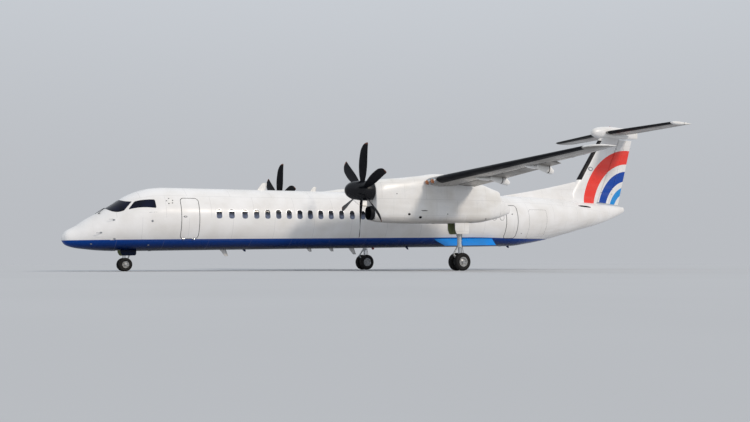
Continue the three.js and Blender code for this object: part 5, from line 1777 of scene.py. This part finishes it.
# Half profiles of the main leg: radius, height over the axle
MAIN_NECK = [(0, -0.02), (0.07, -0.02), (0.085, 0.03), (0.085, 0.1), (0.072, 0.16), (0.0625, 0.19)]
MAIN_NECK += [(0, 0.19)]
MAIN_CASE = [(0, 0.64), (0.098, 0.642), (0.110, 0.655), (0.110, 0.752), (0.103, 0.768), (0.094, 0.775)]
MAIN_CASE += [(0.092, 0.80), (0.092, 1.04), (0.099, 1.05), (0.099, 1.09), (0.092, 1.10), (0.092, 1.50)]
MAIN_CASE += [(0.099, 1.51), (0.099, 1.55), (0.092, 1.56), (0.092, 2.355), (0.085, 2.362), (0, 2.362)]
BRAKE_PACK = [(0.06, 0.082), (0.15, 0.082), (0.158, 0.09), (0.158, 0.128), (0.15, 0.134), (0.06, 0.134)]
# Brake hose, 22 mm thick and 2.0 m long, from the leg's head through its clips to the brake: depth, x, y
BRAKE_HOSE = ((-2.1, 0.06, 0.03), (-1.95, 0.10, 0.03), (-1.4, 0.115, 0.035), (-0.95, 0.12, 0.035))
BRAKE_HOSE += ((-0.7, 0.135, 0.04), (-0.5, 0.165, 0.055), (-0.33, 0.17, 0.075))
BRAKE_HOSE += ((-0.2, 0.14, 0.09), (-0.1, 0.1, 0.095))


def brake(bm, way):
    """Brake of one wheel with its hose. way is the wheel's side."""
    turned(bm, [(r, way * a) for r, a in BRAKE_PACK], axis=(0, 1, 0), finish=3)
    for k in range(5):
        a = 2 * pi * (k + 0.2) / 6
        x, z = 0.118 * cos(a), 0.118 * sin(a)
        rod(bm, (x, way * 0.062, z), (x, way * 0.084, z), 0.02, sides=16, finish=2)
    hose = []
    for down in spread(-2.1, -0.1, 0.08):
        x, y = faired(BRAKE_HOSE, down)
        hose.append((x, y * way, -down))
    tube(bm, hose, 0.011, 8, 4)


def main_leg(name, place):
    bm = bmesh.new()
    turned(bm, MAIN_NECK, sides=40)
    rod(bm, (0, 0, 0.12), (0, 0, 0.75), 0.062, sides=40, finish=1)
    turned(bm, MAIN_CASE)
    cross_rod(bm, 0, 0.075, 0, 0.095, 40)
    rod(bm, (0, 0, -0.12), (0, 0, -0.07), 0.018, 0.04, 16, 2)
    cross_rod(bm, 0, 0.06, 1.168, 0.10, 32)
    cross_rod(bm, 0, 0.2995, 2.128, 0.06, 32)

    # Torque links
    apex = Vector((-0.33, 0, 0.348))
    cross_rod(bm, apex.x, 0.045, apex.z, 0.03, 20, 2)
    for x, z in ((-0.095, 0.668), (-0.07, 0.06)):
        cross_rod(bm, x, 0.062, z, 0.028, 20, 2)
        for way in (-1, 1):
            beam(bm, (x, way * 0.046, z), apex + Vector((0, way * 0.024, 0)), 0.02, 0.05, 0.005)
        beam(bm, Vector((x - 0.02, 0, z)).lerp(apex, 0.2), apex, 0.05, 0.012, 0.003)

    # Brace with its three collars
    foot, head = Vector((-0.115, 0, 1.168)), Vector((-0.30, 0, 2.248))
    rod(bm, foot, head, 0.038)
    collar = (head - foot).normalized() * 0.03
    for t in (0.12, 0.5, 0.88):
        at = foot.lerp(head, t)
        rod(bm, at - collar, at + collar, 0.047, finish=2)
    cross_rod(bm, head.x, 0.2995, head.z, 0.04)

    for way in (-1, 1):
        brake(bm, way)
    for z in (0.95, 1.4, 1.8):
        block(bm, (0.085, -0.05, z - 0.012), (0.128, 0.05, z + 0.012), 0.003, 2)
    finishes = [GEAR_ENAMEL, CHROME, FORGING, CARBON_BRAKE, RUBBER]
    piece(f"main_leg_parts_{name}", bm, "airframe", finishes, [f"main_leg_{name}"], place)


def main_gear():
    for name, side in SIDES:
        middle = side * ENGINE_Y
        place = axle_place(16.39, middle, MAIN_WHEEL[0])
        body = f"main_wheels_{name}"
        halves = (("inner", -side), ("outer", side))
        for label, out in halves:
            tyre(f"main_tyre_{name}_{label}", body, place, out * MAIN_SPACING, MAIN_WHEEL)
        axle = f"main_axle_{name}"
        wheel_pair(f"main_rims_{name}", axle, body, place, MAIN_AXLE, MAIN_SPACING, MAIN_WHEEL)
        main_leg(name, place)
        for label, out in halves:
            bm = bmesh.new()
            inner = door_leaf(bm, MAIN_DOOR, middle + out * 0.289, out)
            for x in (16.12, 16.38, 16.64):
                block(bm, (x - 0.014, inner, -0.78), (x + 0.014, inner - out * 0.014, -0.24), 0.003, 1)
            for z in (-0.42, -0.62):
                block(bm, (16.02, inner, z - 0.012), (16.72, inner - out * 0.008, z + 0.012), 0.003, 1)
            node = f"main_gear_door_{name}_{label}"
            piece(f"{node}_skin", bm, "airframe", [WHITE_SIDE, PRIMER], [node])


# Half profiles of the nose leg: radius, height over the axle
NOSE_NECK = [(0, -0.02), (0.055, -0.02), (0.066, 0.02), (0.066, 0.08), (0.054, 0.14), (0.0505, 0.16)]
NOSE_NECK += [(0, 0.16)]
NOSE_COLLAR = [(0, 0.66), (0.07, 0.66), (0.085, 0.70), (0.085, 0.755), (0.078, 0.762), (0, 0.762)]
NOSE_CASE = [(0.052, 0.772), (0.082, 0.772), (0.078, 0.80), (0.078, 1.19), (0.07, 1.197), (0, 1.197)]


def nose_leg(place):
    bm = bmesh.new()
    rod(bm, (0, 0, 0), (0, 0, 1.13), 0.05, sides=40, finish=1)
    turned(bm, NOSE_NECK, sides=36)
    cross_rod(bm, 0, 0.07, 0, 0.075, 36)
    turned(bm, NOSE_COLLAR, sides=40)
    for x, z in ((0.07, 0.64), (0.06, 0.07)):
        cross_rod(bm, x, 0.045, z, 0.02, 16, 2)
        for way in (-1, 1):
            beam(bm, (x, way * 0.034, z), (0.19, way * 0.018, 0.36), 0.014, 0.034)
    cross_rod(bm, 0.19, 0.034, 0.36, 0.02, 16, 2)

    # Taxi lamp on its bracket, and the steering's hydraulic pipe
    rod(bm, (-0.055, 0, 0.50), (-0.10, 0, 0.50), 0.05, 0.062, 32, 3)
    rod(bm, (-0.10, 0, 0.50), (-0.106, 0, 0.50), 0.058, sides=32, finish=4)
    block(bm, (-0.07, -0.03, 0.42), (-0.03, 0.03, 0.58), 0.005, 2)
    pipe = [(-0.05, 0.03, 0.62), (-0.065, 0.04, 0.4), (-0.06, 0.045, 0.2), (-0.03, 0.05, 0.08)]
    tube(bm, pipe, 0.008, 8, 3)
    finishes = [GEAR_ENAMEL, CHROME, FORGING, RUBBER, LAMP_GLASS]
    piece("nose_leg_steered", bm, "nose_steering", finishes, ["nose_leg_lower"], place)

    bm = bmesh.new()
    turned(bm, NOSE_CASE, sides=40)
    cross_rod(bm, 0, 0.2595, 1.082, 0.045, 28)
    rod(bm, (0.06, 0, 0.942), (0.38, 0, 1.142), 0.03)
    cross_rod(bm, 0.38, 0.2595, 1.142, 0.032)
    for way in (-1, 1):
        rod(bm, (-0.09, way * 0.06, 0.84), (0.06, way * 0.10, 0.84), 0.024, sides=20, finish=2)
    finishes = [GEAR_ENAMEL, CHROME, FORGING]
    piece("nose_leg_fixed", bm, "airframe", finishes, ["nose_leg_upper"], place)


def nose_gear():
    place = axle_place(2.45, 0, NOSE_WHEEL[0])
    for name, side in SIDES:
        tyre(f"nose_tyre_{name}", "nose_wheels", place, side * NOSE_SPACING, NOSE_WHEEL)
    wheel_pair("nose_rims", "nose_axle", "nose_wheels", place, NOSE_AXLE, NOSE_SPACING, NOSE_WHEEL)
    nose_leg(place)
    for name, side in SIDES:
        bm = bmesh.new()
        inner = door_leaf(bm, NOSE_DOOR, side * 0.249, side)
        for x in (2.36, 2.56, 2.76):
            block(bm, (x - 0.01, inner, -1.50), (x + 0.01, inner - side * 0.01, -1.25), 0.002, 1)
        piece(f"nose_gear_door_skin_{name}", bm, "airframe", [LIVERY, PRIMER], [f"nose_gear_door_{name}"])


# Small fittings on the skin

# Probes and vents on each side of the nose: x, height
PROBES = ((1.81, -0.09), (1.32, -0.60), (1.84, -0.85))
VENTS = ((3.91, 0.71), (4.02, 0.81), (3.99, 0.59), (4.17, 0.73), (4.15, 0.62))
# Bosses with finish 2 are matt black: painted shade for vents, ports, recessed handles and the slot at the
# fin's foot
# Low bosses on each side: x, height, length, width, finish, how far they stand proud
SIDE_FITTINGS = [(3.28, -0.14, 0.10, 0.10, 1, 0.003), (3.28, -0.14, 0.03, 0.03, 2, 0.005)]
SIDE_FITTINGS += [(4.04, 0.70, 0.24, 0.24, 0, 0.003), *((x, z, 0.055, 0.045, 2, 0.005) for x, z in VENTS)]
SIDE_FITTINGS += [(3.32, 0.225, 0.34, 0.03, 1, 0.003), (22.05, 0.30, 0.1, 0.06, 2, 0.003)]
SIDE_FITTINGS += [(22.75, -0.695, 0.07, 0.042, 2, 0.003), (27.82, 0.82, 1.1, 0.13, 2, 0.006)]
SIDE_FITTINGS += [(27.82, 0.76, 1.1, 0.045, 0, 0.006)]
# Antennas and drain masts under the belly: x, y, chord, height, rake, thickness, finish
BELLY_BLADES = (
    (6.75, 0, 0.28, 0.28, 0.6, 0.02, 0),
    (10.95, 0, 0.24, 0.14, 0.6, 0.02, 0),
    (12.1, 0, 0.24, 0.14, 0.6, 0.02, 0),
    (13.2, 0, 0.3, 0.30, 0.6, 0.02, 0),
    (7.8, 0.2, 0.16, 0.10, 0.7, 0.03, 8),
    (16.2, -0.2, 0.16, 0.12, 0.7, 0.03, 8),
    (22.8, 0.1, 0.2, 0.10, 0.7, 0.03, 8),
)
# Antennas on the roof: x, chord, height
ROOF_BLADES = ((8.6, 0.42, 0.34), (11.2, 0.30, 0.22), (20.4, 0.30, 0.26))
# Half profiles: radius, distance along the axis
BEACON = [*dome(0.07, 0.09, 8), (0.085, 0), (0.085, -0.02), (0, -0.02)]
TAIL_LIGHT = [*dome(0.045, 0.05, 6), (0, 0)]
LAMP_CAN = [(0, -0.10), (0.118, -0.10), (0.120, 0.01), (0.112, 0.03), (0.104, 0.032), (0.102, 0.02)]
LAMP_LENS = [(radius, 0.024 + rise) for radius, rise in reversed(dome(0.106, 0.085, 6))]
JACK_PAD = [(0, 0.05), (0.07, 0.05), (0.07, -0.008), (0.066, -0.012), (0.03, -0.012), (0.026, -0.006)]
JACK_PAD += [(0, -0.006)]
JACK_PADS = ((3.5, 0, -1.345), (22.2, 0, -1.345), (15.0, -4.4, -0.34), (15.0, 4.4, -0.34))
SHAFT_RING = [(0.10, -0.03), (0.125, -0.03), (0.135, -0.015), (0.135, 0.02), (0.10, 0.02), (0.10, -0.03)]
# Latches and vents on the nacelles, drawn as matt black bosses as painted shade for their ports and slots: x,
# height, length, width
NACELLE_FITTINGS = (
    (12.81, 0.92, 0.05, 0.05),
    (13.42, 0.04, 0.14, 0.10),
    (14.19, 0.20, 0.36, 0.035),
    (14.0, -0.09, 0.16, 0.11),
    (15.43, 0.06, 0.05, 0.05),
    (17.63, -0.14, 0.08, 0.05),
)


def skin_frame(x, side, place):
    """Point of the skin at a height on a side or a distance across the belly, and the way outward."""
    turn = turn_at(fuselage(x), side, place)
    here = skin_point(x, turn)
    return here, (skin_point(x, turn, 1.0) - here).normalized()


def fuselage_fittings(bm):
    for side in ("port", "starboard"):
        for x, z in PROBES:
            at, out = skin_frame(x, side, z)
            spot(bm, at, out, 0.11, 0.07, 1, 0.004)
            bend = at + out * 0.08 + Vector((-0.02, 0, 0))
            tube(bm, [at, at + out * 0.05, bend, at + out * 0.086 + Vector((-0.17, 0, 0))], 0.011, 10, 1)
        for x, z, *shape in SIDE_FITTINGS:
            spot(bm, *skin_frame(x, side, z), *shape)
    for x, z in ((1.0, -1.04), (3.25, -1.11)):
        spot(bm, *skin_frame(x, "port", z), 0.09, 0.06, 1, 0.012)
    for x, y, *shape in BELLY_BLADES:
        fin_blade(bm, *skin_frame(x, "belly", y), *shape)
    for x, chord, height in ROOF_BLADES:
        fin_blade(bm, (x, 0, fuselage(x)[0]), (0, 0, 1), chord, height, 0.5, 0.022)
    turned(bm, BEACON, *skin_frame(14.4, "belly", 0), 32, 3)
    turned(bm, BEACON, (30.6, 0, 5.519), sides=32, finish=3)
    turned(bm, TAIL_LIGHT, (31.36, 0, 0.70), (1, 0, 0), 24, 6)
    for place in JACK_PADS:
        turned(bm, JACK_PAD, place, sides=28, finish=1)


def side_lights(bm, side, tip_finish):
    """Logo light on the fin, position light at the wing tip and two landing lamps in the leading edge."""
    x, z = 28.81, 3.02
    at = (x, side * half_depth(fin_at(z), x), z)
    spot(bm, at, (-0.1, side, 0.03), 0.34, 0.26, 9, 0.006)
    spot(bm, at, (-0.1, side, 0.03), 0.22, 0.15, 0, 0.012)
    x, y = 15.42, 13.86
    z = wing_at(y)["z"]
    rod(bm, (x, side * (y - 0.07), z), (x + 0.09, side * (y + 0.08), z), 0.03, 0.022, 16, tip_finish)
    for y in (5.05, 5.42):
        s = wing_at(y)
        at = Vector((s["le"] - 0.035, side * y, s["z"] - 0.06))
        turned(bm, LAMP_CAN, at, (-1, 0, -0.38), 32, 1)
        turned(bm, LAMP_LENS, at, (-1, 0, -0.38), 32, 7)


def nacelle_fittings():
    bm = bmesh.new()
    for _, side in SIDES:
        for mirror in (1, -1):
            for x, z, length, width in NACELLE_FITTINGS:
                section = nacelle_at(x, 0)
                turn = turn_at(section, "port", z)
                at = oval_point(section, turn, x)
                out = (oval_point(section, turn + 0.02, x) - at).cross(Vector((1, 0, 0)))
                out = out if out.y < 0 else -out
                at.y = side * ENGINE_Y + mirror * at.y
                out.y *= mirror
                spot(bm, at, out, length, width, 1, 0.004)
        turned(bm, SHAFT_RING, (COWL_FRONT, side * ENGINE_Y, PROP_Z), (1, 0, 0), 40)
    piece("nacelle_fittings", bm, "airframe", [FORGING, DARK], ["cowl_left", "cowl_right"])


def small_fittings():
    bm = bmesh.new()
    fuselage_fittings(bm)
    side_lights(bm, -1, 4)
    side_lights(bm, 1, 5)
    finishes = [WHITE_TOP, FORGING, DARK, RED_LENS, RED_LENS, GREEN_LENS, LAMP_GLASS]
    finishes += [COPPER_LAMP, NAVY, REVEAL]
    nodes = ["fuselage_forward", "fuselage_aft", "nacelle_aft_left", "nacelle_aft_right"]
    piece("skin_fittings", bm, "airframe", finishes, nodes)
    nacelle_fittings()


def engines():
    """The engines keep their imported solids, closed in by the cowls."""
    for name, _ in SIDES:
        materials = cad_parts[f"engine_{name}"].data.materials
        materials.clear()
        materials.append(ENGINE_CASE)


# Stage, light and camera

def stage():
    bm = bmesh.new()
    bmesh.ops.create_grid(bm, x_segments=2, y_segments=2, size=400)
    mesh = bpy.data.meshes.new("floor")
    bm.to_mesh(mesh)
    bm.free()
    floor = bpy.data.objects.new("floor", mesh)
    bpy.context.scene.collection.objects.link(floor)
    plain = Finish("pale_studio_floor", "#C3C4C6", "#C1C2C4", 4000, (0.9, 0.9), 40, 0.0, shine=0.0)
    mesh.materials.append(plain.made())

    # The sky's rim has the tone that the floor takes on under it, so no horizon shows.
    world = bpy.data.worlds.new("studio")
    world.use_nodes = True
    tree = world.node_tree
    up = add(tree, "SeparateXYZ", (add(tree, "TexCoord", output="Generated"),), "Z")
    rise = add(tree, "MapRange", (up, 0.0, 0.75), interpolation_type="SMOOTHSTEP")
    sky = add(tree, "Mix", (rise, colour("#BABDC2"), colour("#DDE4EC")), data_type="RGBA")
    tree.links.new(sky, tree.nodes["Background"].inputs["Color"])
    bpy.context.scene.world = world
    bpy.context.scene.view_settings.view_transform = "Standard"

    # Broad key from port, a little aft of abeam and 28 degrees up, as the sun stands in the photo
    light = bpy.data.lights.new("key_light", "SUN")
    light.energy = 1.5
    light.angle = radians(9)
    light.color = colour("#FFF3E4")[:3]
    lamp = bpy.data.objects.new("key_light", light)
    lamp.rotation_euler = Vector((1.63, -4.52, 2.55)).to_track_quat("Z", "Y").to_euler()
    bpy.context.scene.collection.objects.link(lamp)


def camera():
    """At floor level, 30 degrees ahead of port abeam."""
    lens = bpy.data.cameras.new("camera")
    view = bpy.data.objects.new("camera", lens)
    bpy.context.scene.collection.objects.link(view)
    away = 42
    turn = radians(-30)
    aim = Vector((-1.44, 0.66, 0))
    view.location = aim + Vector((sin(turn) * away, -cos(turn) * away, 0.3))
    view.rotation_euler = (radians(93.6), 0, turn)
    lens.lens = 40.5
    lens.clip_end = 2000
    bpy.context.scene.camera = view


fuselage_shells()
wings()
fairing()
nacelles()
propellers()
rudders()
dorsal()
tailplane()
strakes()
flight_deck_windows()
airstair()
vestibule()
nose_bay()
main_gear()
nose_gear()
small_fittings()
engines()
stage()
camera()
